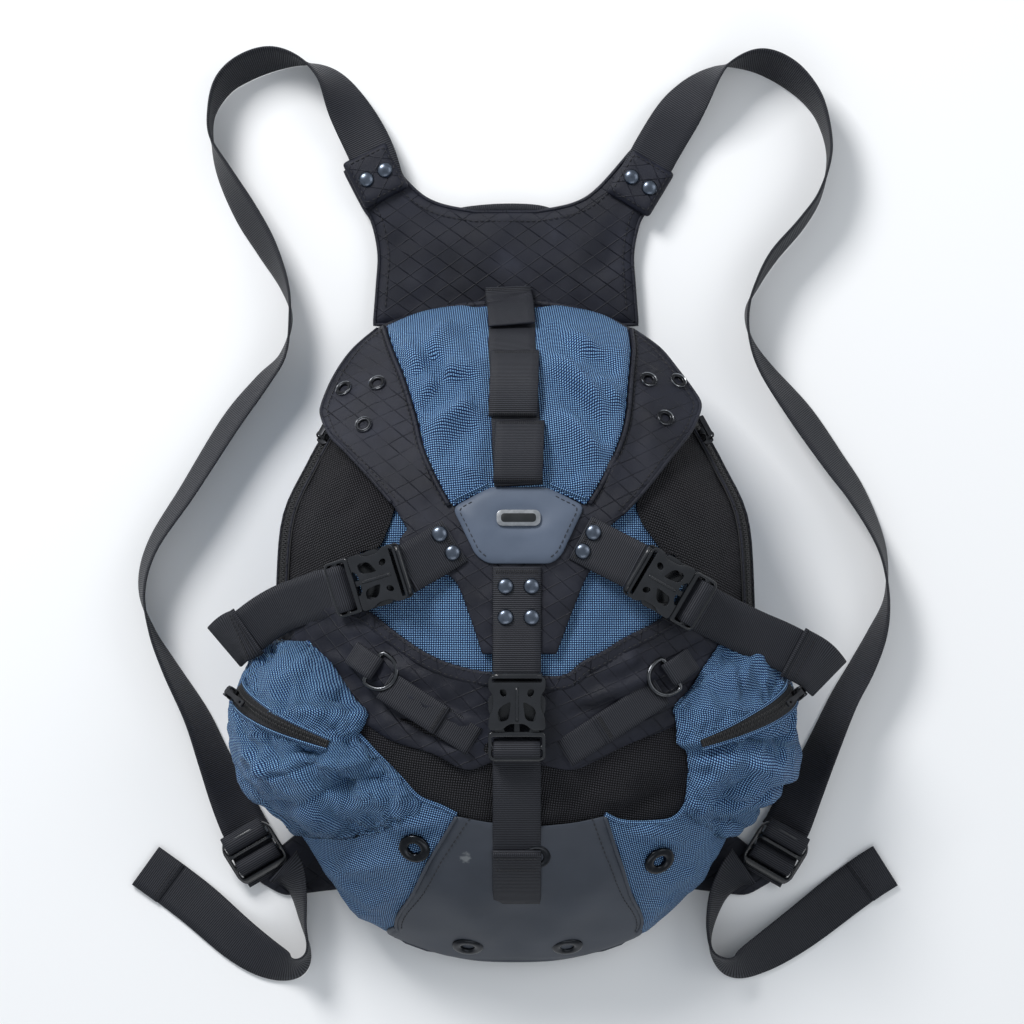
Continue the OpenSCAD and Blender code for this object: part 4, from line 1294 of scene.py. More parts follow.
# ---- Back ----------------------------------------------------------------------------------------
def cushion(name, outline, low, high, material, replaces, step=4.0, channels=(), round_by=6.0,
            under=0.35):
    """A padded form with full edges, a crowned face and sewn channels. It lies flat on its lower side."""
    outline = resample(np.vstack([outline, outline[:1]]), step)[:-1]
    flat, faces = fill_outline(outline, step)
    x, y = flat[:, 0], flat[:, 1]
    edge = edge_distance(flat, outline)
    full = 1 - np.exp(-(edge / round_by) ** 1.2)
    groove = np.zeros(len(flat))
    for x0, y0, x1, y1, width in channels:
        t = np.clip(((x - x0) * (x1 - x0) + (y - y0) * (y1 - y0)) / ((x1 - x0) ** 2 + (y1 - y0) ** 2), 0, 1)
        off = np.hypot(x - x0 - t * (x1 - x0), y - y0 - t * (y1 - y0))
        groove = np.maximum(groove, np.exp(-(off / width) ** 2))
    middle = low + (high - low) * (1 - under) * 0.5
    top = middle + (high - middle) * full * (1 - 0.55 * groove) + 0.3 * full * noise_at(x, y, 0, 24, 60.0)
    bottom = middle - (middle - low) * full * (1 - 0.75 * groove)
    upper = np.column_stack([flat, np.minimum(top, high)])
    lower = np.column_stack([flat, bottom])
    return shell_piece(name, upper, lower, faces, len(outline), material, "pack", replaces, flat)


def back_outline(scale, low=-272, high=122):
    ys = np.linspace(low, high, 40)
    right = [(half_width(y) * scale, y) for y in ys]
    return np.array(right + [(-x, y) for x, y in right[::-1]])


def make_back():
    outline = back_outline(0.87)
    panel = cushion("back_panel", outline, 3.0, 12.4, "spacer", ("back_panel",), 5.0, round_by=7.0,
                    channels=[(-80, -138, 80, -138, 5), (-80, 118, -8, -130, 4), (80, 118, 8, -130, 4)])
    edge = np.column_stack([outline, np.full(len(outline), 7.6)])
    tube("back_binding", edge, 1.8, "ripstop", closed=True, flat=1.9)
    for name, x, y, w, l in (("lumbar_pad", 0, -190, 170, 90), ("spine_pad_left", -45, -10, 66, 240),
                             ("spine_pad_right", 45, -10, 66, 240)):
        outline = box_outline(x - w / 2, x + w / 2, y - l / 2, y + l / 2, 12, 8)
        channels = [(x - w / 2 + 8, y + at, x + w / 2 - 8, y + at, 2.5) for at in (-l / 6, l / 6)]
        pad = cushion(name, outline, 0.0, 3.4, "spacer", (name,), 4.0, round_by=4.0, under=0.9,
                      channels=channels)
    sheet = back_outline(0.62, -246, 108)
    solid_plate("frame_sheet", sheet, 12.4, 13.6, "sheet_plastic", edge=0.3, replaces=("frame_sheet",))


# ---- Cloth simulation ----------------------------------------------------------------------------
def relax(piece, held, pressure, grow, frames, cap, stiffness, bending):
    """Lets cloth swell and buckle between the points that hold it, and keeps the shape that it takes.

    held gives each point's hold, from 0 to 1. grow is how much larger the cloth is than its place."""
    scene = bpy.context.scene
    before = get_points(piece.data)
    group = piece.vertex_groups.new(name="held")
    for index, weight in enumerate(held):
        if weight > 0:
            group.add([index], float(weight), "REPLACE")
    mod = piece.modifiers.new("cloth", "CLOTH")
    cloth = mod.settings
    cloth.quality = 6
    cloth.mass = 0.25
    cloth.tension_stiffness = cloth.compression_stiffness = stiffness
    cloth.shear_stiffness = stiffness * 0.5
    cloth.bending_stiffness = bending
    cloth.vertex_group_mass = group.name
    cloth.shrink_min = -grow
    cloth.use_pressure = True
    cloth.uniform_pressure_force = pressure
    cloth.effector_weights.gravity = 0
    mod.collision_settings.use_collision = False
    mod.point_cache.frame_start = 1
    mod.point_cache.frame_end = frames
    for frame_number in range(1, frames + 1):
        scene.frame_set(frame_number)
    graph = bpy.context.evaluated_depsgraph_get()
    move = get_points(piece.evaluated_get(graph).data) - before
    piece.modifiers.clear()
    piece.vertex_groups.clear()
    scene.frame_set(1)
    length = np.linalg.norm(move, axis=1, keepdims=True)
    limit = cap * MM
    move *= np.where(length > 1e-9, limit * np.tanh(length / limit) / np.maximum(length, 1e-9), 0)
    set_points(piece, before + move)


def thicken(piece, thickness):
    """Gives a sheet its thickness, on the side away from its face."""
    mod = piece.modifiers.new("cloth_thickness", "SOLIDIFY")
    mod.thickness = thickness * MM
    mod.offset = -1
    return apply_modifiers(piece)


# ---- Side pockets --------------------------------------------------------------------------------
POD_LOW, POD_HIGH = -204, -78
POD_OUTER_U = 1.4
POD_BULGE = 31
POD_GAP = 1.6


def pod_inner_u(y):
    return 0.46 + 0.16 * np.clip((y + 112) / 20, 0, 1)


def pod_edge_u(side_name, y):
    """Where the pocket's inner edge lies on the bag's skin at one height."""
    line = smooth(POD_INNER[side_name], 6)
    x = float(np.interp(y, line[:, 0], line[:, 1]))
    return s_at(x, y) / RIM_S


def pod_point(u, y, fill, lift=0.0, inner=None):
    inner = pod_inner_u(y) if inner is None else inner
    a = np.clip((u - inner) / (POD_OUTER_U - inner), 0, 1)
    b = np.clip((y - POD_LOW) / (POD_HIGH - POD_LOW), 0, 1)
    swell = POD_BULGE * np.sin(np.pi * a) ** 0.8 * np.sin(np.pi * b) ** 0.6
    turn = np.radians(72 - 84 * np.clip((u - 0.55) / 0.75, 0, 1))
    off = POD_GAP + fill * (2 + swell) + lift
    base = bag_point(u, y)
    return base + np.stack([np.cos(turn) * off, np.zeros_like(off), np.sin(turn) * off], axis=-1)


def zip_spot(s, step=0.0, lift=0.0):
    u = 0.98 + (0.54 - 0.98) * s
    y = -106 + (-141 + 106) * s + step
    return pod_point(np.asarray(u, float), np.asarray(y, float), 1.0, lift)


# Folds of the two pockets, seen from the front, with x outwards from the bag's middle
POD_FOLDS = {
    "left": [
        (98, -142, 142, -148, 4.5, -10.0), (88, -148, 128, -156, 8, 5.5), (128, -156, 168, -161, 6, 5.0),
        (127, -156, 164, -163, 2.5, -4.0), (161, -136, 142, -155, 5, -5.5), (172, -146, 152, -158, 4, 3.0),
        (66, -176, 72, -158, 6, 4.0), (74, -163, 97, -164, 3.5, -4.0), (97, -164, 134, -179, 3.5, -5.0),
        (134, -179, 164, -181, 4, -4.0), (84, -176, 122, -186, 8, 3.5), (72, -196, 118, -198, 3, -3.0),
        (97, -117, 118, -113, 3.5, -3.0), (152, -78, 160, -92, 5, -6.0), (128, -98, 160, -100, 6, 3.0),
        (110, -126, 140, -116, 6, 2.5), (140, -128, 172, -120, 7, 3.0)],
    "right": [
        (105, -146, 141, -143, 4, -6.5), (140, -142, 176, -139, 5, -7.0), (120, -133, 172, -128, 6, 3.5),
        (155, -145, 166, -153, 5, -5.0), (110, -153, 142, -151, 5, 4.0), (142, -151, 180, -166, 6, 4.5),
        (124, -182, 150, -158, 5, -4.5), (112, -172, 132, -156, 5, 2.5), (123, -183, 176, -168, 3, -5.0),
        (130, -176, 180, -178, 6, 3.5), (118, -190, 153, -200, 3.5, -5.0), (128, -200, 146, -208, 5, 3.5),
        (98, -118, 116, -104, 5, 2.5), (136, -96, 158, -108, 5, 2.5), (126, -86, 146, -92, 5, -2.5)]}
POD_INNER = {
    "left": [(-204, 122), (-198, 88), (-192, 68), (-186, 59), (-178, 57), (-172, 62), (-164, 68),
             (-156, 74), (-148, 84), (-143, 90), (-137, 96), (-129, 92), (-121, 90), (-114, 97),
             (-104, 104), (-90, 114), (-78, 128)],
    "right": [(-204, 128), (-198, 118), (-190, 110), (-184, 105), (-174, 105), (-163, 107), (-154, 106),
              (-146, 105), (-141, 99), (-133, 99), (-125, 98), (-118, 97), (-106, 108), (-92, 117),
              (-78, 127)]}


def make_pod(side_name, side):
    name = "pod_%s" % side_name
    rows, cols = 100, 84
    b = np.linspace(0, 1, rows)
    a = np.linspace(0, 1, cols)
    ys = POD_LOW + (POD_HIGH - POD_LOW) * b
    points, held, uvs = [], [], []
    for j, y in enumerate(ys):
        inner = pod_edge_u(side_name, y)
        us = inner + (POD_OUTER_U - inner) * a
        points.append(pod_point(us, np.full_like(us, y), 1.0, 0.0, inner))
        edge = np.minimum(np.minimum(a, 1 - a) * 130, min(b[j], 1 - b[j]) * (POD_HIGH - POD_LOW))
        s = (0.98 - us) / 0.44
        zip_off = np.abs(y - (-106 - 35 * s)) + 30 * np.maximum(s - 1.05, 0) + 30 * np.maximum(-0.3 - s, 0)
        held.append(np.maximum(np.exp(-(edge / 2.5) ** 2), 0.96 * np.exp(-(zip_off / 8.5) ** 4)))
    grid = np.array(points)
    base = grid.reshape(-1, 3).copy()
    n = unit_rows(np.cross(np.gradient(grid, axis=1), np.gradient(grid, axis=0))).reshape(-1, 3)
    n *= np.sign(np.sum(n * (base - np.array([60, -140, 40])), axis=1, keepdims=True))
    hold = np.array(held).ravel()
    loose = 1 - hold
    rise = folds(base[:, 0], base[:, 1], POD_FOLDS[side_name])
    inward = np.exp(-(np.tile(np.clip(a - 0.5, 0, 1), rows) / 0.34) ** 4)
    rise += (0.8 + 2.0 * inward) * noise_at(base[:, 0], base[:, 1], base[:, 2], 24, 70.0 + 7 * side, 3)
    base += n * (0.4 * rise * loose)[:, None]
    across = np.linalg.norm(np.diff(grid, axis=1), axis=2)
    up = np.linalg.norm(np.diff(grid, axis=0), axis=2)
    u = np.hstack([np.zeros((rows, 1)), np.cumsum(across, axis=1)])
    v = np.vstack([np.zeros((1, cols)), np.cumsum(up, axis=0)])
    uvs = turned(np.column_stack([u.ravel(), v.ravel()]), 16 * side)
    base[:, 0] *= side
    faces = []
    for j in range(rows - 1):
        for i in range(cols - 1):
            k = j * cols + i
            quad = [k, k + 1, k + cols + 1, k + cols]
            faces.append(quad if side > 0 else quad[::-1])
    piece = make_piece(name, base, faces, "blue", "pack", (name,), uvs)
    relax(piece, hold, pressure=0.4, grow=0.07, frames=22, cap=8.0, stiffness=12.0, bending=0.8)
    deepen(piece, n * np.array([side, 1, 1]) * (0.85 * rise * loose)[:, None])
    hold_off(piece)
    piece = thicken(piece, 1.1)
    return piece


def deepen(piece, moves):
    """Moves each point of a piece by its own distance."""
    set_points(piece, get_points(piece.data) + np.asarray(moves) * MM)


def hold_off(piece):
    """Keeps the pocket's cloth clear of the bag's skin and above the floor."""
    p = get_points(piece.data) / MM
    x, y = np.abs(p[:, 0]), p[:, 1]
    over_bag = x < half_width(y) * 0.99
    skin = front_z(np.minimum(x, half_width(y) * 0.99), y) + 2.2
    p[:, 2] = np.where(over_bag, np.maximum(p[:, 2], skin), p[:, 2])
    p[:, 2] = np.maximum(p[:, 2], 3.0)
    set_points(piece, p * MM)


DROP_FROM = 60.0


def drop_on(piece, points, towards):
    """Where points land on a piece when they move along one direction, with the piece's normals there."""
    tree = BVHTree.FromObject(piece, bpy.context.evaluated_depsgraph_get())
    spots, normals = [], []
    for p, d in zip(points, towards):
        d = Vector(d).normalized()
        start = Vector(p) * MM - d * DROP_FROM * MM
        spot, normal, _, _ = tree.ray_cast(start, d)
        if spot is None:
            spot, normal = Vector(p) * MM, -d
        spots.append(tuple(v / MM for v in spot))
        normals.append(tuple(normal if normal.dot(d) < 0 else -normal))
    return np.array(spots), np.array(normals)


def calm(values, times):
    """Evens out a row of points or directions, and keeps its ends."""
    v = np.array(values, float)
    for _ in range(times):
        v[1:-1] = (v[:-2] + 2 * v[1:-1] + v[2:]) / 4
    return v


def make_pod_zip(side_name, side, pod):
    """The pocket's zip: a tape in a slit, wider at its outer end, with two rows of coil and two welts."""
    name = "pod_zip_%s" % side_name
    s = np.linspace(-0.1, 1.0, 44)
    ideal = zip_spot(s, 0.0, 0.0)
    low, high = zip_spot(s, -1.0), zip_spot(s, 1.0)
    along = unit_rows(np.gradient(ideal, axis=0))
    n = unit_rows(np.cross(along, high - low))
    n *= np.sign(n[:, 2:3] + 1e-9)
    mirror = np.array([side, 1, 1])
    ideal, n = ideal * mirror, n * mirror
    spots, normals = drop_on(pod, ideal, -n)
    spots, normals = calm(spots, 24), unit_rows(calm(normals, 20) + n)
    along = unit_rows(np.gradient(spots, axis=0))
    across = unit_rows(np.cross(normals, along))
    width = 16.0 - 9.5 * np.clip(s, 0, 1) ** 1.6
    middle = spots + normals * (1.6 - 0.8 * np.clip((s - 0.3) / 0.15, 0, 1))[:, None]
    ribbon_piece(name, middle, across, normals, width, 1.2, "tape", "pack", (name,), 8)
    coil("%s_coil" % name, middle + normals * 0.7, across, normals)
    pairs = []
    for k, sign in enumerate((-1, 1)):
        edge = middle + across * (sign * width / 2)[:, None] + normals * 0.1
        tube("%s_welt_%d" % (name, k + 1), edge, 1.1, "blue", up=normals)
        inner = middle + across * (sign * (width / 2 - 1.8))[:, None] + normals * 0.75
        pairs.append((inner, normals))
    seam("%s_seams" % name, pairs, radius=0.26)


def make_pods():
    for side_name, side in (("left", -1), ("right", 1)):
        pod = make_pod(side_name, side)
        make_pod_zip(side_name, side, pod)


# ---- Yoke, horns and shoulder straps -------------------------------------------------------------
YOKE_X = -6
YOKE_HALF = [(85, 124), (83, 150), (82, 170), (86, 190), (92, 200), (104, 223), (82, 237), (60, 212),
             (44, 202), (20, 197)]
HORN_PLACES = [(-91, 222, 27), (82, 217, -31)]
PATCH_LOW = 15.4
YOKE_FOLDS = [
    (-90, 180, -62, 150, 10, -1.4), (-70, 130, -40, 170, 9, -1.0), (72, 184, 50, 150, 10, -1.4),
    (60, 130, 30, 168, 9, 1.0), (-20, 190, -24, 150, 12, 0.8), (-92, 200, -80, 178, 5, 1.0),
    (80, 200, 70, 178, 5, 1.0)]


def yoke_outline():
    """The yoke is drawn by smooth sides between the corners of its two horns."""
    half = YOKE_HALF
    right = [resample(smooth(half[0:6], 6), 3.0), resample(np.array(half[5:7]), 3.0),
             resample(smooth(half[6:], 6), 3.0)]
    edge = np.vstack([run[:-1] for run in right] + [right[-1][-1:]])
    left = edge[::-1] * np.array([-1, 1])
    low = resample(np.array([left[-1], edge[0]]), 3.0)[1:-1]
    out = np.vstack([edge, left[1:] if np.allclose(edge[-1], left[0]) else left, low])
    return out + np.array([YOKE_X, 0])


def edge_offset(outline, inset):
    """A line inside a closed outline, at an even distance from it."""
    ahead = np.roll(outline, -1, axis=0) - np.roll(outline, 1, axis=0)
    n = unit_rows(np.column_stack([-ahead[:, 1], ahead[:, 0]]))
    return outline + n * inset * turning(outline)


def make_yoke():
    outline = yoke_outline()
    flat, faces = fill_outline(outline, 3.6)
    x, y = flat[:, 0], flat[:, 1]
    edge = edge_distance(flat, outline)
    hem = np.clip((edge - 7.0) / 2.0, 0, 1)
    full = 1 - np.exp(-(edge / 3.0) ** 1.3)
    top = 8.6 + 2.2 * full + 0.9 * hem * (1 - np.exp(-(np.maximum(edge - 7, 0) / 14) ** 2))
    top += (folds(x, y, YOKE_FOLDS) + 0.7 * noise_at(x, y, 0, 30, 80.0)) * (1 - np.exp(-(edge / 10) ** 2))
    bottom = 7.2 - 2.9 * full + 0.25 * noise_at(x, y, 0, 30, 90.0) * full
    upper = np.column_stack([flat, np.minimum(top, 13.0)])
    lower = np.column_stack([flat, np.maximum(bottom, 3.4)])
    yoke = shell_piece("yoke", upper, lower, faces, len(outline), "ripstop", "pack", ("yoke",), flat)
    line = edge_offset(outline, 6.2)
    z = np.full(len(line), 11.25)
    n = np.tile([0, 0, 1.0], (len(line), 1))
    keep = line[:, 1] > 132
    start = int(np.argmax(keep & ~np.roll(keep, 1)))
    order = (np.arange(len(line)) + start) % len(line)
    order = order[keep[order]]
    seam("yoke_seam", [(np.column_stack([line, z])[order], n[order])])
    tube("yoke_edge", np.column_stack([outline, np.full(len(outline), 7.9)]), 1.3, "ripstop", closed=True,
         flat=1.5)
    haul = [(-46, 187, 0, 2.0), (-30, 191, 15, 0.8), (-8, 193, 20, 0.6), (14, 192, 15, 0.8),
            (28, 187, 0, 2.0)]
    webbing_piece("haul_loop", haul, "pack", ("haul_loop",), 20, 2.2)


def make_horns():
    pairs, places = [], []
    for k, (x, y, turn) in enumerate(HORN_PLACES):
        place = Matrix.Translation(Vector((x, y, PATCH_LOW))) @ Matrix.Rotation(math.radians(turn), 4, "Z")
        outline = rounded([(-15.5, -18), (15.5, -18), (15.5, 14), (-15.5, 14)], 2.5)
        flat, faces = fill_outline(np.array(outline), 3.0)
        lump = 1.3 + 0.25 * noise_at(flat[:, 0], flat[:, 1], 0, 9, 100.0 + k)
        edge = np.minimum(15.5 - np.abs(flat[:, 0]), np.minimum(flat[:, 1] + 18, 14 - flat[:, 1]))
        sag = -2.8 * np.exp(-(edge / 1.4) ** 2)
        upper = moved(np.column_stack([flat, lump + sag]), place)
        lower = moved(np.column_stack([flat, sag - 0.3]), place)
        shell_piece("horn_patch_%d" % (k + 1), upper, lower, faces, len(outline), "ripstop", "pack",
                    ("horn_patches",) if k == 0 else (), flat)
        inner = np.array(rounded([(-13, -15.5), (13, -15.5), (13, 11.5), (-13, 11.5)], 1.0))
        inner = np.vstack([inner, inner[:1]])
        line = moved(np.column_stack([inner, np.full(len(inner), 1.15)]), place)
        pairs.append((line, np.tile([0, 0, 1.0], (len(line), 1))))
        places += [place @ Matrix.Translation(Vector((side * 6.7, -2, 1.1))) for side in (-1, 1)]
    seam("horn_seams", pairs)
    lathe("horn_rivets", dome_profile(2.9), "rivet", places, "pack", ("horn_rivets",))


STRAP_LEFT = [
    (-86, 212, 0, 12.4), (-93, 235, 0, 12.4), (-107, 262, 25, 7), (-120, 283, 60, 2), (-136, 293, 88, 0.4),
    (-156, 295.5, 114, 0.4), (-174, 290, 119, 0.4), (-188, 279, 110, 0.4), (-196, 261, 94, 0.4),
    (-196, 243, 88, 0.4), (-188, 222, 70, 0.4), (-174, 196, 58, 0.4), (-161, 174, 62, 0.4),
    (-149, 149, 78, 0.4), (-145, 128, 89, 0.4), (-150, 104, 80, 0.4), (-164, 86, 68, 0.4),
    (-184, 60, 62, 0.4), (-211, 17, 66, 0.4), (-234, -19, 72, 0.4), (-241, -47, 78, 0.4),
    (-235, -73, 90, 0.4), (-223, -98, 104, 0.4), (-206, -129, 118, 0.4), (-195, -156, 130, 1),
    (-184, -182, 150, 3), (-176, -200, 166, 4.6), (-172, -207, 172, 6)]
STRAP_RIGHT = [
    (78, 209, 0, 12.4), (88, 230, 0, 12.4), (102, 254, -8, 9), (114, 271, -34, 3), (127, 285, -66, 0.4),
    (139, 292, -89, 0.4), (158, 294, -115, 0.4), (175, 287, -120, 0.4), (190, 273, -110, 0.4),
    (199, 256, -98, 0.4), (203, 233, -90, 0.4), (197, 208, -84, 0.4), (185, 189, -79, 0.4),
    (167, 168, -78, 0.4), (156, 149, -84, 0.4), (150, 133, -90, 0.4), (152, 115, -84, 0.4),
    (162, 95, -70, 0.4), (185, 65, -55, 0.4), (206, 35, -57, 0.4), (220, 15, -62, 0.4),
    (233, -10, -72, 0.4), (239, -30, -80, 0.4), (240, -54, -90, 0.4), (234, -76, -108, 0.4),
    (224, -98, -118, 0.4), (212, -120, -122, 0.4), (197, -154, -132, 1), (185, -180, -150, 3),
    (177, -199, -166, 4.6), (173, -206, -172, 6)]
TAIL_LEFT = [
    (-150, -226, 20, 6), (-145, -231, 44, 5), (-140, -243, 66, 3.4), (-137, -262, 80, 0.6),
    (-134, -281, 92, 0.4), (-142, -291, 124, 0.4), (-158, -288, 150, 0.4), (-178, -276, 168, 0.4),
    (-204, -254, 179, 0.4), (-222, -240, 180, 0.4), (-240, -227, 180, 0.4)]
TAIL_RIGHT = [
    (148, -226, -20, 6), (140, -232, -44, 5), (131, -245, -64, 3.4), (126, -266, -80, 0.6),
    (128, -282, -94, 0.4), (141, -291, -124, 0.4), (159, -284, -148, 0.4), (184, -268, -166, 0.4),
    (213, -246, -179, 0.4), (228, -235, -180, 0.4), (240.5, -227, -180, 0.4)]
HEM = 21.0


def tail_hem(name, route):
    """The end of a tail: the webbing is turned over once and sewn across."""
    centres, across, normals = webbing_frames(route, 10)
    back = lengths_along(centres[::-1])[::-1]
    keep = back < HEM
    up = normals * np.sign(normals[:, 2:3])
    top = centres[keep] + up[keep] * 1.45
    ribbon_piece(name, top, across[keep], up[keep], WEB_W + 0.3, 1.3)
    pairs = []
    for distance in (HEM - 2.0, HEM - 5.0):
        where = at_length(-distance, -back, centres)
        k = int(np.argmin(np.abs(back - distance)))
        pairs += cross_stitches(where + up[k] * 2.15, across[k], up[k], 13)
    return pairs


def make_shoulder_straps():
    for name, route in (("shoulder_strap_left", STRAP_LEFT), ("shoulder_strap_right", STRAP_RIGHT),
                        ("strap_tail_left", TAIL_LEFT), ("strap_tail_right", TAIL_RIGHT)):
        webbing_piece(name, route, "pack", (name,), steps=12)
    pairs = tail_hem("tail_hem_left", TAIL_LEFT) + tail_hem("tail_hem_right", TAIL_RIGHT)
    spindles("tail_stitches", pairs, 0.33)


# ---- Lower wings and ladder locks ----------------------------------------------------------------
LOCK_PLACES = [("left", -161, -231, 120, 16), ("right", 161, -231, 60, 16)]


def make_lower_wings():
    for name, side in (("lower_wing_left", -1), ("lower_wing_right", 1)):
        corners = [(96, -200), (128, -196), (158, -220), (168, -236), (150, -246), (100, -240)]
        outline = rounded([(side * x, y) for x, y in corners], 5) + [(side * 98, -206)]
        outline = resample(np.array(outline), 3.0)
        outline = outline[:-1] if np.allclose(outline[0], outline[-1]) else outline
        flat, faces = fill_outline(outline, 3.5)
        lump = 0.35 * noise_at(flat[:, 0], flat[:, 1], 0, 16, 110.0 + side)
        upper = np.column_stack([flat, 2.5 + lump])
        lower = np.column_stack([flat, np.full(len(flat), 0.5)])
        shell_piece(name, upper, lower, faces, len(outline), "ripstop", "pack", (name,), flat)


def make_ladder_lock(side_name, x, y, turn, tilt):
    """A ladder lock: a flat frame with three bars, its lip turned up, and webbing wound over the bars."""
    body = "ladder_lock_%s" % side_name
    place = (Matrix.Translation(Vector((x, y, 3.4))) @ Matrix.Rotation(math.radians(turn), 4, "Z")
             @ Matrix.Rotation(math.radians(-tilt), 4, "Y"))
    outline = rounded([(0.5, -15, 3), (6, -17.8, 3), (28, -17.8, 4), (33.8, -14, 3), (33.8, 14, 3),
                       (28, 17.8, 4), (6, 17.8, 3), (0.5, 15, 3)], 3)
    slots = [box_outline(a, a + 6, -15.4, 15.4, 1.6) for a in (5, 14.5, 24)]
    solid_plate("%s_frame" % body, outline, 0.4, 5.0, "plastic", place, body, slots, 0.9, (body,))
    for k, a in enumerate((12.75, 22.25)):
        bar = [(a, t, 5.2) for t in np.linspace(-15.6, 15.6, 8)]
        tube("%s_bar_%d" % (body, k + 1), moved(bar, place), 1.5, "plastic", body, sides=10)
    lip = [(32.2, t, 5.2 + 0.9 * math.cos(t / 10)) for t in np.linspace(-14, 14, 10)]
    tube("%s_lip" % body, moved(lip, place), 1.7, "plastic", body, sides=10)
    path = [(36, 3.4), (32, 7.2), (27.5, 7.6), (24.5, 4.6), (22.5, 1.0), (18.6, 1.4), (17.4, 4.0),
            (15.8, 7.0), (12.6, 7.9), (9.2, 7.0), (7.6, 3.6), (5.4, 0.9), (1.0, 1.6), (-2.5, 2.8)]
    wound_webbing("%s_webbing" % body, path, place, 29.0, 1.4, body)


# ---- Lid -----------------------------------------------------------------------------------------
LID_OUTLINE = [
    [(-88, 119), (-74, 126), (-54, 131), (-21, 135), (12, 135), (37, 132), (56, 128), (75, 118)],
    [(75, 118), (91, 106), (102, 92), (112, 78), (116, 70), (114, 62), (109, 52), (96, 36), (80, 16),
     (66, 1), (58, -6)],
    [(58, -6), (62, -12), (54, -24), (44, -36), (34, -60), (25, -84)],
    [(25, -84), (-20, -84)],
    [(-20, -84), (-28, -60), (-38, -38), (-58, -28), (-71, -18), (-66, -8)],
    [(-66, -8), (-76, 8), (-90, 24), (-105, 40), (-115, 50), (-121, 62), (-121, 70), (-114, 88),
     (-103, 105), (-88, 119)]]
BLUE_OUTLINE = [
    [(-81, 119), (-57, 129), (-21, 134), (12, 134), (37, 131), (56, 126), (71, 117)],
    [(71, 117), (72, 104), (70, 85), (67, 59), (61, 40), (51, 20), (43, 7)],
    [(43, 7), (19, 16), (-15, 16), (-38, 6)],
    [(-38, 6), (-46, 20), (-55, 40), (-60, 60), (-68, 85), (-76, 104), (-81, 119)]]
LID_FOLDS = [
    (-70, 104, -52, 84, 5, 2.6), (-54, 100, -38, 118, 6, 2.4), (-52, 96, -40, 70, 4, -4.6),
    (-62, 84, -48, 96, 4, -2.6), (-60, 62, -32, 84, 4.5, -4.2), (-56, 74, -36, 92, 5, 2.4),
    (-52, 50, -22, 70, 5, 3.0), (-46, 34, -24, 54, 4.5, -3.0), (-30, 88, -22, 62, 4.5, -2.8),
    (-66, 74, -56, 50, 4, 2.2), (-34, 30, -16, 22, 4, 2.0), (-30, 116, -22, 96, 5, -2.0),
    (20, 116, 40, 92, 5, -3.6), (28, 112, 54, 98, 5, 2.4), (24, 98, 56, 62, 4.5, 3.4),
    (18, 90, 46, 54, 4.5, -3.8), (42, 100, 64, 86, 5, -3.0), (50, 82, 66, 66, 4, 2.6),
    (30, 62, 52, 34, 4.5, 3.0), (40, 62, 58, 44, 4, -3.2), (22, 44, 38, 20, 5, -2.6),
    (34, 26, 48, 14, 4, 1.6)]
WING_FOLDS = [
    (-100, 96, -84, 60, 7, 1.2), (-92, 60, -70, 30, 6, -1.2), (-76, 96, -62, 50, 5, -1.3),
    (-64, 46, -52, 10, 4, 1.3), (-58, 10, -44, -6, 4, -1.2), (92, 92, 82, 60, 7, 1.2),
    (84, 60, 66, 30, 6, -1.2), (78, 98, 72, 56, 4, -1.2), (62, 40, 54, 10, 4, 1.2),
    (56, -8, 44, -20, 4, -1.0), (-20, -50, 0, -40, 6, 0.8), (18, -50, 26, -30, 5, -0.8),
    (-14, -70, -18, -48, 4, 0.8)]
EYELETS = [(-94, 56), (-107, 79), (-86, 82), (93, 60), (83, 84), (102, 84)]


def lid_cloth(x, y):
    return folds(x, y, WING_FOLDS) + 0.9 * noise_at(x, y, 0, 20, 120.0)


def lid_blue(x, y):
    strip = 1 - np.exp(-(np.maximum(np.abs(x) - 15, 0) / 6) ** 2)
    rise = (2.7 * folds(x, y, LID_FOLDS) + 1.3 * noise_at(x, y, 0, 24, 130.0)
            + 0.5 * noise_at(x, y, 0, 9, 140.0))
    return np.maximum(rise * strip + lid_tucks(x, y), -0.6)


def lid_tucks(x, y):
    """Soft rise of the lid's blue panel over the lining that backs it."""
    strip = 1 - np.exp(-(np.maximum(np.abs(x) - 14, 0) / 9) ** 2)
    return 4.2 * strip * np.exp(-((y - 74) / 46) ** 4)


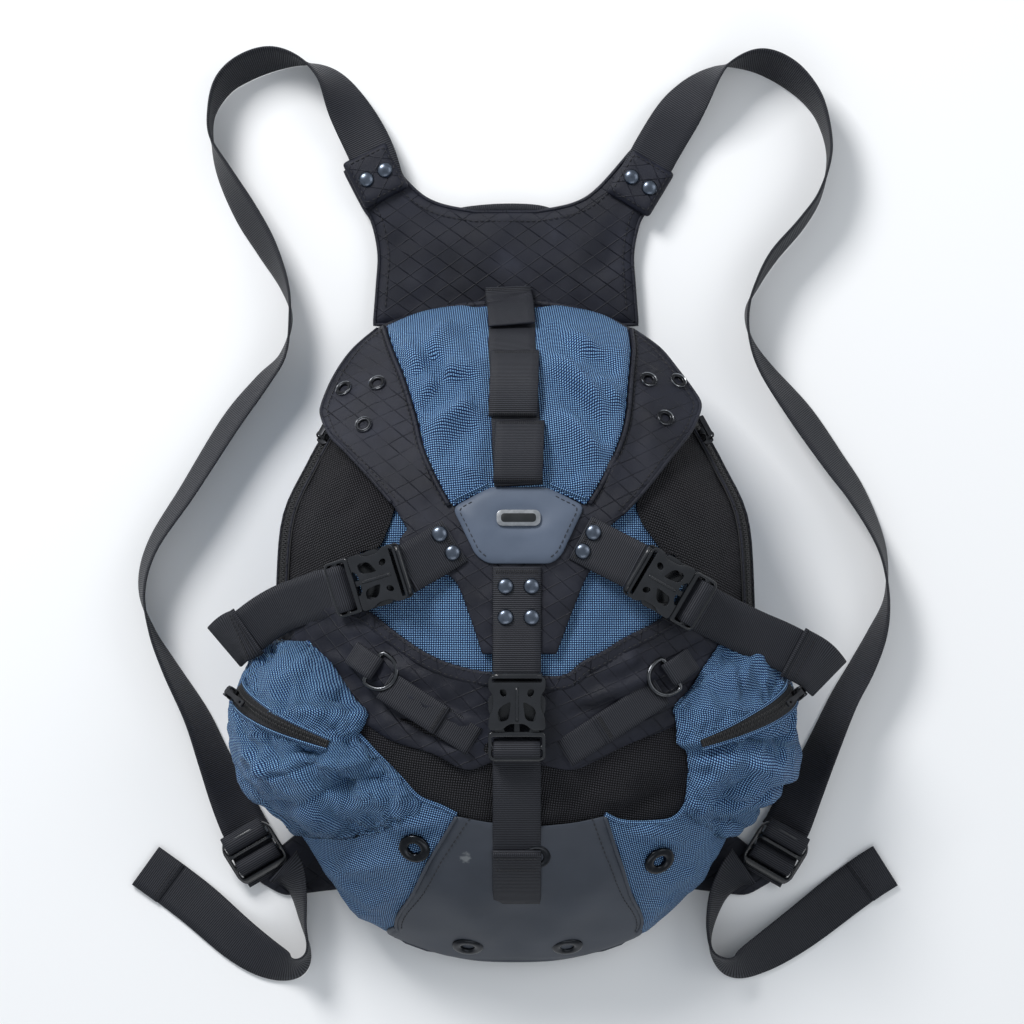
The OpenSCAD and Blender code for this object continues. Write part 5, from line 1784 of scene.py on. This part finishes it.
def make_lid():
    cloth_panel("lid_base", LID_OUTLINE, lid_z, 0.0, LID_T, "ripstop", 3.2, lid_cloth, "lid",
                ("lid_base",), 8)
    cloth_panel("lid_panel", BLUE_OUTLINE, lid_z, 1.9, 1.5, "blue", 2.5, lid_blue, "lid",
                ("lid_panel",), -4)
    seams = []
    for run in (LID_OUTLINE[1][:-1], LID_OUTLINE[5][1:]):
        inward = [(x - math.copysign(4.5, x), y) for x, y in run]
        p, n = on_surface(lid_z, inward, LID_T + 0.3)
        seams.append((p + n * lid_cloth(p[:, 0], p[:, 1])[:, None] * 0.75, n))
        p, n = on_surface(lid_z, run, LID_T * 0.55)
        tube("lid_edge_%s" % ("right" if run[0][0] > 0 else "left"), p, 1.25, "ripstop", "lid", up=n,
             flat=1.1)
    for run in (BLUE_OUTLINE[1], BLUE_OUTLINE[3]):
        outward_run = [(x + math.copysign(2.6, x), y) for x, y in run]
        p, n = on_surface(lid_z, outward_run, LID_T + 0.9)
        tube("lid_welt_%s" % ("right" if run[0][0] > 0 else "left"), p, 1.5, "ripstop", "lid", up=n,
             flat=0.9)
        p, n = on_surface(lid_z, [(x + math.copysign(5.0, x), y) for x, y in run], LID_T + 0.35)
        seams.append((p + n * lid_cloth(p[:, 0], p[:, 1])[:, None] * 0.6, n))
    for k, ends in enumerate((((43, 10), (21, 19)), ((-17, 19), (-38, 9)))):
        p, n = on_surface(lid_z, ends, 4.3)
        tube("plate_welt_%d" % (k + 1), p, 1.2, "blue", "lid", up=n)
    seam("lid_seams", seams, "lid")
    places = [stand_on(p, n) for p, n in surface_spots(lid_z, EYELETS, LID_T + 0.2, lid_cloth)]
    lathe("wing_eyelets", grommet_profile(5.2, 2.9, 1.5), "eyelet", places, "lid", ("wing_eyelets",))
    lathe("wing_eyelet_rims", [(4.9, 1.0), (5.3, 1.5), (5.6, 0.9), (5.4, 0.1)], "rim", places, "lid")


def surface_spots(height, spots, lift, rise=None):
    out = []
    for x, y in spots:
        ax, ay = np.array([float(x)]), np.array([float(y)])
        n = surface_normals(height, ax, ay, 2.0)[0]
        up = lift + (float(rise(ax, ay)[0]) if rise is not None else 0)
        out.append((np.array([x, y, float(height(ax, ay)[0])]) + n * up, n))
    return out


def make_lid_seam():
    """The strip that joins the lid to the yoke."""
    line = [(-58, 129.5), (-40, 134.5), (-6, 137.5), (20, 136.5), (40, 133), (54, 128)]
    p = resample(smooth(line, 6), 2.5)
    z = 14.6 + 1.6 * np.cos(np.clip(p[:, 0] / 70, -1, 1) * math.pi / 2)
    tube("lid_seam", np.column_stack([p, z]), 2.6, "ripstop", "pack", flat=0.8, replaces=("lid_seam",),
         sides=12)


def make_plate():
    outline = rounded([(-15, 17, 3), (19, 17, 3), (42, 5.5, 4), (28, -24, 6), (22, -29, 5), (-17, -29, 5),
                       (-24, -24, 6), (-38, 4.5, 4)], 4, 6)
    outline = resample(np.vstack([outline, outline[:1]]), 2.4)[:-1]
    flat, faces = fill_outline(outline, 2.6)
    x, y = flat[:, 0], flat[:, 1]
    edge = edge_distance(flat, outline)
    dish = -1.1 * np.exp(-(((x - 2) / 17) ** 2 + ((y + 2) / 8.5) ** 2) ** 3)
    ridge = folds(x, y, [(-32, 2, -14, -12, 7, 0.9), (36, 2, 18, -12, 7, 0.9), (2, -12, 2, -30, 10, -0.7)])
    rise = 1.4 * (1 - np.exp(-(edge / 2.2) ** 1.4)) + dish + ridge * (1 - np.exp(-(edge / 5) ** 2))
    n = surface_normals(lid_z, x, y)
    base = np.column_stack([x, y, lid_z(x, y)])
    upper = base + n * (3.6 + rise)[:, None]
    lower = base + n * 2.2
    shell_piece("rubber_plate", upper, lower, faces, len(outline), "plate", "lid", ("rubber_plate",), flat)
    line = edge_offset(outline, 2.6)
    keep = (line[:, 1] < 12) & (line[:, 1] > -26)
    for k, side in enumerate((-1, 1)):
        part = line[keep & (line[:, 0] * side > 0)]
        part = part[np.argsort(part[:, 1])]
        p, m = on_surface(lid_z, [tuple(q) for q in part[::3]], 4.75)
        spindles("plate_stitches_%d" % (k + 1), seam_pairs(p, m), 0.28, body="lid")


def make_badge():
    """A plain rounded bar of metal with a dark inlay."""
    (spot, n), = surface_spots(lid_z, [(2, -2)], 3.9)
    place = stand_on(spot, n)
    bar = rounded([(-13.5, -5), (13.5, -5), (13.5, 5), (-13.5, 5)], 4.2, 8)
    solid_plate("badge", bar, 0, 2.3, "badge", place, "lid", (), 0.7, ("badge",))
    inlay = rounded([(-10.8, -2.7), (10.8, -2.7), (10.8, 2.7), (-10.8, 2.7)], 2.4, 8)
    solid_plate("badge_inlay", inlay, 1.2, 2.75, "badge_dark", place, "lid", (), 0.4)


DAISY_LOOPS = [(104, 62, -1.5), (59, 21, 1.5)]


def make_daisy():
    """A strip of webbing down the lid's middle, with raised loops between bar tacks."""
    low = 5.0
    surface_ribbon("daisy_chain", [(-3, 137), (-2, 128), (-2, 110), (-1, 90), (0, 60), (1, 40), (2, 19)],
                   lid_z, low, WEB_W, 1.4, "lid", ("daisy_chain",))
    tacks = []
    for k, (start, end, shift) in enumerate(DAISY_LOOPS):
        t = np.linspace(0, 1, 30)
        y = start + (end - start) * t
        x = shift + 1.5 * (1 - t)
        rise = 6.8 * np.sin(np.pi * t ** 1.25) ** 0.6
        z = lid_z(x, y) + low + 2.5 + rise
        centres = np.column_stack([x, y, z])
        across = np.tile([1.0, 0, 0], (len(t), 1))
        normals = unit_rows(np.cross(across, unit_rows(np.gradient(centres, axis=0))))
        normals *= np.sign(normals[:, 2:3])
        ribbon_piece("daisy_loop_%d" % (k + 1), centres, across, normals, WEB_W + 0.6, 1.5,
                     "webbing", "lid")
        for at in (1, -2):
            n = normals[at]
            tacks += tack_pairs(centres[at] + n * 0.8, (1, 0, 0), unit_rows(np.cross(n, (1, 0, 0))), n,
                                25, 3.4, 22)
    hem = webbing_piece("daisy_hem", [(-4.5, 148, 0, 13.8), (-4.3, 143.6, 0, 15.4), (-4, 140.8, 0, 21.5),
                                      (-3.4, 138.4, 0, 29.5), (-3, 134.6, 0, 38.0), (-2.5, 128.2, 0, 48.6),
                                      (-2, 121.8, 0, 57.6)], None, (), WEB_W, 1.6)
    slope, n = (0.0, -0.94, 0.34), np.array([0.0, 0.34, 0.94])
    hem_tacks = tack_pairs(np.array([-4.4, 146.0, 14.6]) + n * 0.9, (1, 0, 0), slope, n, 26, 2.2, 20)
    spindles("daisy_hem_tacks", hem_tacks, 0.3)
    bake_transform(hem)
    x, y = np.array([-2.0]), np.array([118.0])
    n = surface_normals(lid_z, x, y)[0]
    top = np.array([-2.0, 118.0, float(lid_z(x, y)[0])]) + n * (low + 1.5)
    tacks += tack_pairs(top, (1, 0, 0), unit_rows(np.cross(n, (1, 0, 0))), n, 25, 4.0, 22)
    spindles("daisy_tacks", tacks, 0.3, body="lid")


# ---- Lid webbing, rivets and buckles -------------------------------------------------------------
BUCKLES = [
    ("left", (-66, -32, 133.4), (-111, -46, 110)),
    ("right", (73, -31, 133.4), (114, -55, 112.5)),
    ("centre", (1, -97, 133.8), (1, -150, 131))]
STUB_ROUTES = [
    [(-37, -15, 0, 129.6), (-50, -23, 0, 130.6), (-63, -30.5, 0, 132.2)],
    [(40, -13, 0, 129.6), (54, -20.5, 0, 130.6), (69.5, -28.5, 0, 132.2)],
    [(1, -31, 0, 131), (1, -60, 0, 132.4), (1, -93, 0, 133.2)]]
RIVETS = [(-46.5, -11, 132), (-38.5, -22.5, 132), (48, -10, 132), (41.5, -21.5, 132), (-6, -43, 133.6),
          (10, -43, 133.6), (-6, -62, 134.4), (10, -62, 134.4)]


def make_stubs():
    pairs = []
    for k, route in enumerate(STUB_ROUTES):
        x0, y0, _, z0 = route[0]
        x1, y1, _, z1 = route[-1]
        d = unit_rows(np.array([x1 - x0, y1 - y0, z1 - z0]))
        into = [(x1 + d[0] * 5, y1 + d[1] * 5, 0, z1 + 1.6),
                (x1 + d[0] * 7.4, y1 + d[1] * 7.4, 0, z1 - 1.6)]
        webbing_piece("lid_stub_%d" % (k + 1), route + into, "lid", ("lid_stubs",) if k == 0 else ())
        side = np.array([-d[1], d[0], 0])
        at = np.array([x0, y0, z0 + WEB_T]) + d * 3.0
        pairs += tack_pairs(at, side, d, (0, 0, 1), 25, 3.0, 20)
    spindles("stub_tacks", pairs, 0.3, body="lid")
    places = [Matrix.Translation(Vector((x, y, z - 0.4))) for x, y, z in RIVETS]
    lathe("lid_rivets", dome_profile(3.0), "rivet", places, "lid", ("lid_rivets",))


def buckle_place(ends):
    start, end = Vector(ends[0]), Vector(ends[1])
    return aim(start, end - start)


def make_housing(name, place, replaces):
    """The socket of a side release buckle: two plates with windows, held apart by a block and two ribs."""
    outline = rounded([(0, -15, 3), (3, -17.6, 3), (8.5, -17.4, 4), (12, -14.6, 5), (21, -14.6, 6),
                       (26, -17.2, 4), (33.4, -17.6, 2.5), (33.4, -9, 3), (29.5, -5, 4), (29.5, 5, 4),
                       (33.4, 9, 3), (33.4, 17.6, 2.5), (26, 17.2, 4), (21, 14.6, 6), (12, 14.6, 5),
                       (8.5, 17.4, 4), (3, 17.6, 3), (0, 15, 3)], 3)
    windows = []
    for side in (-1, 1):
        tear = rounded([(15.5, side * 3.6, 2.4), (27.5, side * 5.2, 3.2), (28.5, side * 11.5, 3.4),
                        (20, side * 11.6, 3.6)], 3, 6)
        windows.append(tear if side > 0 else tear[::-1])
        windows.append(oval(10.4, side * 8.4, 2.6, 1.9, side * -25))
    slot = box_outline(1.6, 4.2, -15.4, 15.4, 1.0)

    def dome_by(x, y):
        return 0.7 * np.clip(1 - ((x - 17) / 20) ** 2, 0, 1) * np.clip(1 - (y / 19) ** 2, 0, 1)

    solid_plate(name + "_top", outline, 8.0, 9.5, "plastic", place, "lid", windows + [slot], 0.55,
                replaces, 3.5, dome_by)
    solid_plate(name + "_base", outline, 0.2, 1.9, "plastic", place, "lid", [slot], 0.5, (), 60)
    block = rounded([(4.8, -15.2, 1), (8.6, -14.8, 2), (8.6, 14.8, 2), (4.8, 15.2, 1)], 1.0)
    solid_plate(name + "_block", block, 1.6, 8.3, "plastic", place, "lid", (), 0.4)
    for k, side in enumerate((-1, 1)):
        corners = [(8.2, side * 2.6), (29.0, side * 2.9), (29.0, side * 4.2), (8.2, side * 4.4)]
        rib = rounded(corners, 0.5, 2)
        rib = rib if side > 0 else rib[::-1]
        solid_plate("%s_rib_%d" % (name, k + 1), rib, 1.6, 8.3, "plastic", place, "lid", (), 0.2)
    bar = [(0.5, t, 5) for t in np.linspace(-15.4, 15.4, 8)]
    tube(name + "_bar", moved(bar, place), 2.3, "plastic", "lid", flat=1.7, sides=14)
    ridge = [(x, 0, 9.9 + 0.35 * math.sin(math.pi * (x - 7) / 21)) for x in np.linspace(7, 28, 10)]
    tube(name + "_ridge", moved(ridge, place), 1.0, "plastic", "lid", flat=0.7, sides=10)


def make_plug(name, place):
    """The plug: a frame with two slots for the strap, two sprung arms with lobes, and a guide."""
    frame_outline = rounded([(34.6, -17.6, 3), (51, -17.6, 5), (53, -14, 4), (53, 14, 4), (51, 17.6, 5),
                             (34.6, 17.6, 3)], 3, 6)
    slots = [box_outline(38, 43.2, -15.3, 15.3, 1.3), box_outline(45.6, 50.2, -15.3, 15.3, 1.3)]
    solid_plate(name + "_frame", frame_outline, 1.9, 8.1, "plastic", place, name, slots, 1.0, (name,),
                segments=4)
    for k, side in enumerate((-1, 1)):
        arm = rounded([(35.6, side * 7.0, 1), (35.6, side * 13.6, 1), (27, side * 14.2, 4),
                       (22.5, side * 17.4, 3.5), (14, side * 17.6, 4), (11, side * 14.2, 3),
                       (12.5, side * 12.2, 2), (17, side * 13.2, 3), (23, side * 11.6, 4),
                       (30, side * 9.4, 4)], 2, 6)
        arm = arm if side > 0 else arm[::-1]
        solid_plate("%s_arm_%d" % (name, k + 1), arm, 2.6, 7.4, "plastic", place, name, (), 0.8)
    guide = rounded([(13.5, -1.2, 0.6), (36, -1.7, 0.5), (36, 1.7, 0.5), (13.5, 1.2, 0.6)], 0.6, 3)
    solid_plate(name + "_guide", guide, 3.4, 6.6, "plastic", place, name, (), 0.4)
    path = [(57, 0.6), (54, 1.2), (51.8, 4.4), (50.2, 7.9), (47.5, 9.3), (44.6, 9.2), (42.4, 7.6),
            (41.0, 4.6), (40.0, 1.8), (42.4, 0.7), (48, 0.3), (56, -0.9)]
    wound_webbing(name + "_webbing", path, place, 28.8, 1.3, name)


def make_buckles():
    for k, (side_name, *ends) in enumerate(BUCKLES):
        place = buckle_place(ends)
        make_housing("buckle_housing_%s" % side_name, place, ("buckle_housings",) if k == 0 else ())
        make_plug("plug_%s" % side_name, place)


# ---- Straps on the bag ---------------------------------------------------------------------------
SIDE_STRAPS = [
    [(-106, -45, 0, 110.5), (-119, -48, 0, 103.6), (-133, -53, 0, 94), (-146, -58, 0, 87),
     (-158, -65, 0, 81), (-169, -73, 0, 75), (-177, -77, 4, 67), (-183, -82, 8, 56)],
    [(109, -53, 0, 112), (121, -60, 0, 105.6), (135, -67, 0, 98.4), (150, -74, 0, 93), (164, -80, 0, 87.4),
     (176, -86, 0, 82.4), (188, -93, -8, 74.4), (197, -102, -20, 64)]]


def make_side_straps():
    pairs = []
    for side_name, route in zip(("left", "right"), SIDE_STRAPS):
        name = "side_strap_%s" % side_name
        strap = webbing_piece(name, route, None, ("side_straps",) if side_name == "left" else (), steps=10)
        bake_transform(strap)
        centres, across, normals = webbing_frames(route, 10)
        up = normals * np.sign(normals[:, 2:3])
        keep = slice(-22, None)
        top = centres[keep] + up[keep] * 1.7
        ribbon_piece("%s_end" % name, top, across[keep], up[keep], WEB_W + 3.6, 1.7)
        edge = top[0] - (top[1] - top[0]) * 0.2
        tube("%s_fold" % name, [edge + across[keep][0] * t for t in np.linspace(-17, 17, 8)], 1.25,
             "webbing", up=np.tile(up[keep][0], (8, 1)))
        for k in (2, 5):
            pairs += cross_stitches(top[k] + up[keep][k] * 0.85, across[keep][k], up[keep][k], 15)
    spindles("side_strap_stitches", pairs, 0.32)


def make_centre_strap():
    """The centre strap is folded back on itself at its lower end, and sewn to the boot."""
    height = front_z
    line = [(1, -151), (1, -165), (1, -180), (1, -195), (1, -210), (1, -225), (1, -240)]
    points = [(x, y, 1.0 - (0.5 if y < -200 else 0)) for x, y in line]
    strap = surface_ribbon("centre_strap", points, height, 2.6, WEB_W, WEB_T, None, ("centre_strap",))
    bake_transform(strap)
    points = [(1, -207.5, 3.0), (1, -222, 3.0), (1, -236, 2.6), (1, -243.5, 0.8)]
    surface_ribbon("centre_strap_fold", points, height, 2.2, WEB_W + 0.4, WEB_T)

    def spot(y, normal_y, rise):
        n = surface_normals(height, np.array([1.0]), np.array([normal_y]))[0]
        return np.array([1.0, y, float(height(np.array([1.0]), np.array([y]))[0])]) + n * rise, n

    pairs = []
    for y in (-209.5, -216.5):
        c, n = spot(y, y, 6.9)
        pairs += cross_stitches(c, np.array([1.0, 0, 0]), n, 13.5, 2.0)
    spindles("centre_strap_stitches", pairs, 0.34)
    c, _ = spot(-207.0, -207.5, 5.6)
    tube("centre_strap_hem", [c + np.array([t, 0, 0]) for t in np.linspace(-15, 15, 8)], 1.2, "webbing")
    spots = surface_spots(height, [(13, -210)], 3.4)
    lathe("strap_eyelet", grommet_profile(9.0, 4.5, 1.4), "grommet", [stand_on(*spots[0])])


RING_PLACES = [("left", -88, -93, -33), ("right", 97, -97, 213)]
RING_HALF = 11
RING_LIFT = 6.0
RING_WIRE = 1.5
RING_STRAPS = [("left", (-80, -104), (-25, -139)), ("right", (90, -108), (30, -146))]


def ring_place(x, y, turn):
    d = np.array([math.cos(math.radians(turn)), math.sin(math.radians(turn))])
    z0 = float(front_z(np.array([x]), np.array([y]))[0])
    z1 = float(front_z(np.array([x + d[0] * 14]), np.array([y + d[1] * 14]))[0])
    return aim((x, y, z0 + RING_LIFT), (d[0], d[1], (z1 - z0) / 14))


def make_rings():
    for side_name, x, y, turn in RING_PLACES:
        place = ring_place(x, y, turn)
        body = "strap_ring_%s" % side_name
        bow = [(5 + RING_HALF * math.cos(a), RING_HALF * math.sin(a), 0)
               for a in np.linspace(-1.35, 1.35, 16)]
        corners = [(1.2, -RING_HALF, 0), (0, -RING_HALF + 1.4, 0)]
        path = [(0, t, 0) for t in np.linspace(-RING_HALF + 2, RING_HALF - 2, 7)]
        path += [(c[0], -c[1], 0) for c in corners[::-1]] + [(4, RING_HALF + 0.2, 0)] + bow[::-1]
        path += [(4, -RING_HALF - 0.2, 0)] + corners
        tube(body, moved(path, place), RING_WIRE, "ring", body, closed=True, sides=14,
             up=np.tile(np.array(place)[:3, 2], (len(path), 1)), replaces=(body,))
        loop = [(-17, -3.4), (-9, -2.9), (-3.4, -2.9), (0.4, -3.0), (2.7, -1.2), (2.7, 1.2), (0.4, 3.0),
                (-4, 2.9), (-9, 1.6), (-13, -0.6), (-17, -1.8)]
        wound_webbing("ring_tab_%s" % side_name, loop, place, 15.5, 1.2, "pack",
                      ("ring_tabs",) if side_name == "left" else ())
    shape = relief(BIB_FOLDS, 1.5, 17, 5.0)
    pairs = []
    for k, (side_name, start, end) in enumerate(RING_STRAPS):
        line = resample(np.array([start, end], float), 3.0)
        z = front_z(line[:, 0], line[:, 1])
        p = np.column_stack([line, z])
        rise = shape(p)
        p[:, 2] += 3.4 + 0.5 * rise
        p[:, 2] = calm(p[:, 2], 6)
        along = unit_rows(np.gradient(p, axis=0))
        across = unit_rows(np.column_stack([-along[:, 1], along[:, 0], np.zeros(len(p))]))
        normals = unit_rows(np.cross(along, across))
        ribbon_piece("ring_strap_%s" % side_name, p, across, normals, 19.0, 1.4,
                     "webbing", "pack", ("ring_straps",) if k == 0 else ())
        second = p[: len(p) * 2 // 3] + normals[: len(p) * 2 // 3] * 1.7
        m = len(second)
        ribbon_piece("ring_strap_%s_fold" % side_name, second, across[:m], normals[:m], 19.4, 1.3)
        pairs += tack_pairs(second[-2] + normals[m - 2] * 0.75, across[m - 2], along[m - 2],
                            normals[m - 2], 15, 3, 14)
    spindles("ring_strap_tacks", pairs, 0.3)


# ---- Grommets on the bag -------------------------------------------------------------------------
def make_grommets():
    def skin_places(spots, lift):
        out = []
        for x, y in spots:
            u = np.array([s_at(x, y) / RIM_S])
            p, n = bag_point(u, np.array([float(y)]))[0], bag_normal(u, np.array([float(y)]))[0]
            out.append(stand_on(p + n * lift, n))
        return out

    boot = skin_places([(-30, -271.5), (33, -271.5)], 3.6)
    lathe("boot_grommets", grommet_profile(GROMMET_R, GROMMET_HOLE, GROMMET_H), "grommet", boot, "pack",
          ("boot_grommets",))
    side = skin_places([(-62, -205), (89, -214)], 3.4)
    lathe("side_grommets", grommet_profile(GROMMET_R, GROMMET_HOLE, GROMMET_H), "grommet", side, "pack",
          ("side_grommets",))


# ---- Zip sliders ---------------------------------------------------------------------------------
SLIDER_LIFT = 4.8
POD_SLIDER_LIFT = 5.25


def slider_pieces(name, body, place, replaces):
    """A zip slider: a waisted plate with a bridge over it."""
    plan = rounded([(-5.5, -2.2, 1.5), (-1, -3.9, 2), (4.5, -3.9, 2), (5.5, -2, 1.5), (5.5, 2, 1.5),
                    (4.5, 3.9, 2), (-1, 3.9, 2), (-5.5, 2.2, 1.5)], 1.5)
    solid_plate(name + "_plate", plan, 0.1, 2.3, "zip", place, body, (), 0.5, replaces)
    for k, side in enumerate((-1, 1)):
        cheek = [(-1.4, 0, 2.0), (-0.6, 0, 4.8), (1.0, 0, 6.0), (2.4, 0, 5.0), (2.8, 0, 2.0)]
        arc = moved([(x, side * 2.9, z) for x, _, z in smooth(cheek, 4)], place)
        tube("%s_bridge_%d" % (name, k + 1), arc, 0.62, "zip", body, sides=8,
             up=np.tile(np.array(place)[:3, 1], (len(arc), 1)))


def pull_pieces(name, body, place, replaces):
    """A pull tab on its pin, with a waist and a hole at its end."""
    pin = moved([(1, t, 4.6) for t in np.linspace(-3.6, 3.6, 6)], place)
    tube(name + "_pin", pin, 0.78, "zip", body, sides=12, up=np.tile(np.array(place)[:3, 0], (6, 1)))
    plan = rounded([(1.4, -1.9, 0.5), (8, -1.3, 2), (13, -1.9, 2), (20.8, -2.1, 1.6), (20.8, 2.1, 1.6),
                    (13, 1.9, 2), (8, 1.3, 2), (1.4, 1.9, 0.5)], 1)
    solid_plate(name + "_tab", plan, 3.95, 5.25, "zip", place, body, [oval(17.5, 0, 1.2, 0.9, 0, 14)],
                0.35, replaces)


def make_sliders():
    start = zip_spot(0.16, 0.0, POD_SLIDER_LIFT)
    away = zip_spot(0.5, 0.0, POD_SLIDER_LIFT) - start

    def main_point(y):
        u = np.array([0.85])
        b = bag_point(u, np.array([float(y)]))[0]
        d = np.array([b[0] * 0.75, 0, 130.0])
        return b + d / np.linalg.norm(d) * SLIDER_LIFT

    main_start = main_point(50)
    main_away = main_point(24) - main_start
    for side_name, side in (("left", -1), ("right", 1)):
        flip = np.array([side, 1, 1])
        place = aim(start * flip, away * flip)
        slider_pieces("pod_slider_%s" % side_name, "pod_slider_%s" % side_name, place,
                      ("pod_slider_%s" % side_name,))
        pull_pieces("pod_pull_%s" % side_name, "pod_pull_%s" % side_name, place,
                    ("pod_pull_%s" % side_name,))
        name = "zip_slider_%s" % side_name
        place = aim(main_start * flip, main_away * flip, -34 * side)
        slider_pieces(name, name, place, (name,))
        tab = rounded([(-12, -1.9), (2, -1.9), (2, 1.9), (-12, 1.9)], 0.8)
        solid_plate(name + "_pull", tab, 6.3, 7.5, "zip", place, name, (), 0.35)


# ---- The whole pack ------------------------------------------------------------------------------
make_camera()
make_lights()
make_floor()
make_upper_body()
make_bib()
make_boot()
make_lower_sides()
make_side_walls()
make_main_zips()
make_back()
make_pods()
make_yoke()
make_horns()
make_shoulder_straps()
make_lower_wings()
for lock in LOCK_PLACES:
    make_ladder_lock(*lock)
make_lid()
make_lid_seam()
make_plate()
make_badge()
make_daisy()
make_stubs()
make_buckles()
make_side_straps()
make_centre_strap()
make_rings()
make_grommets()
make_sliders()
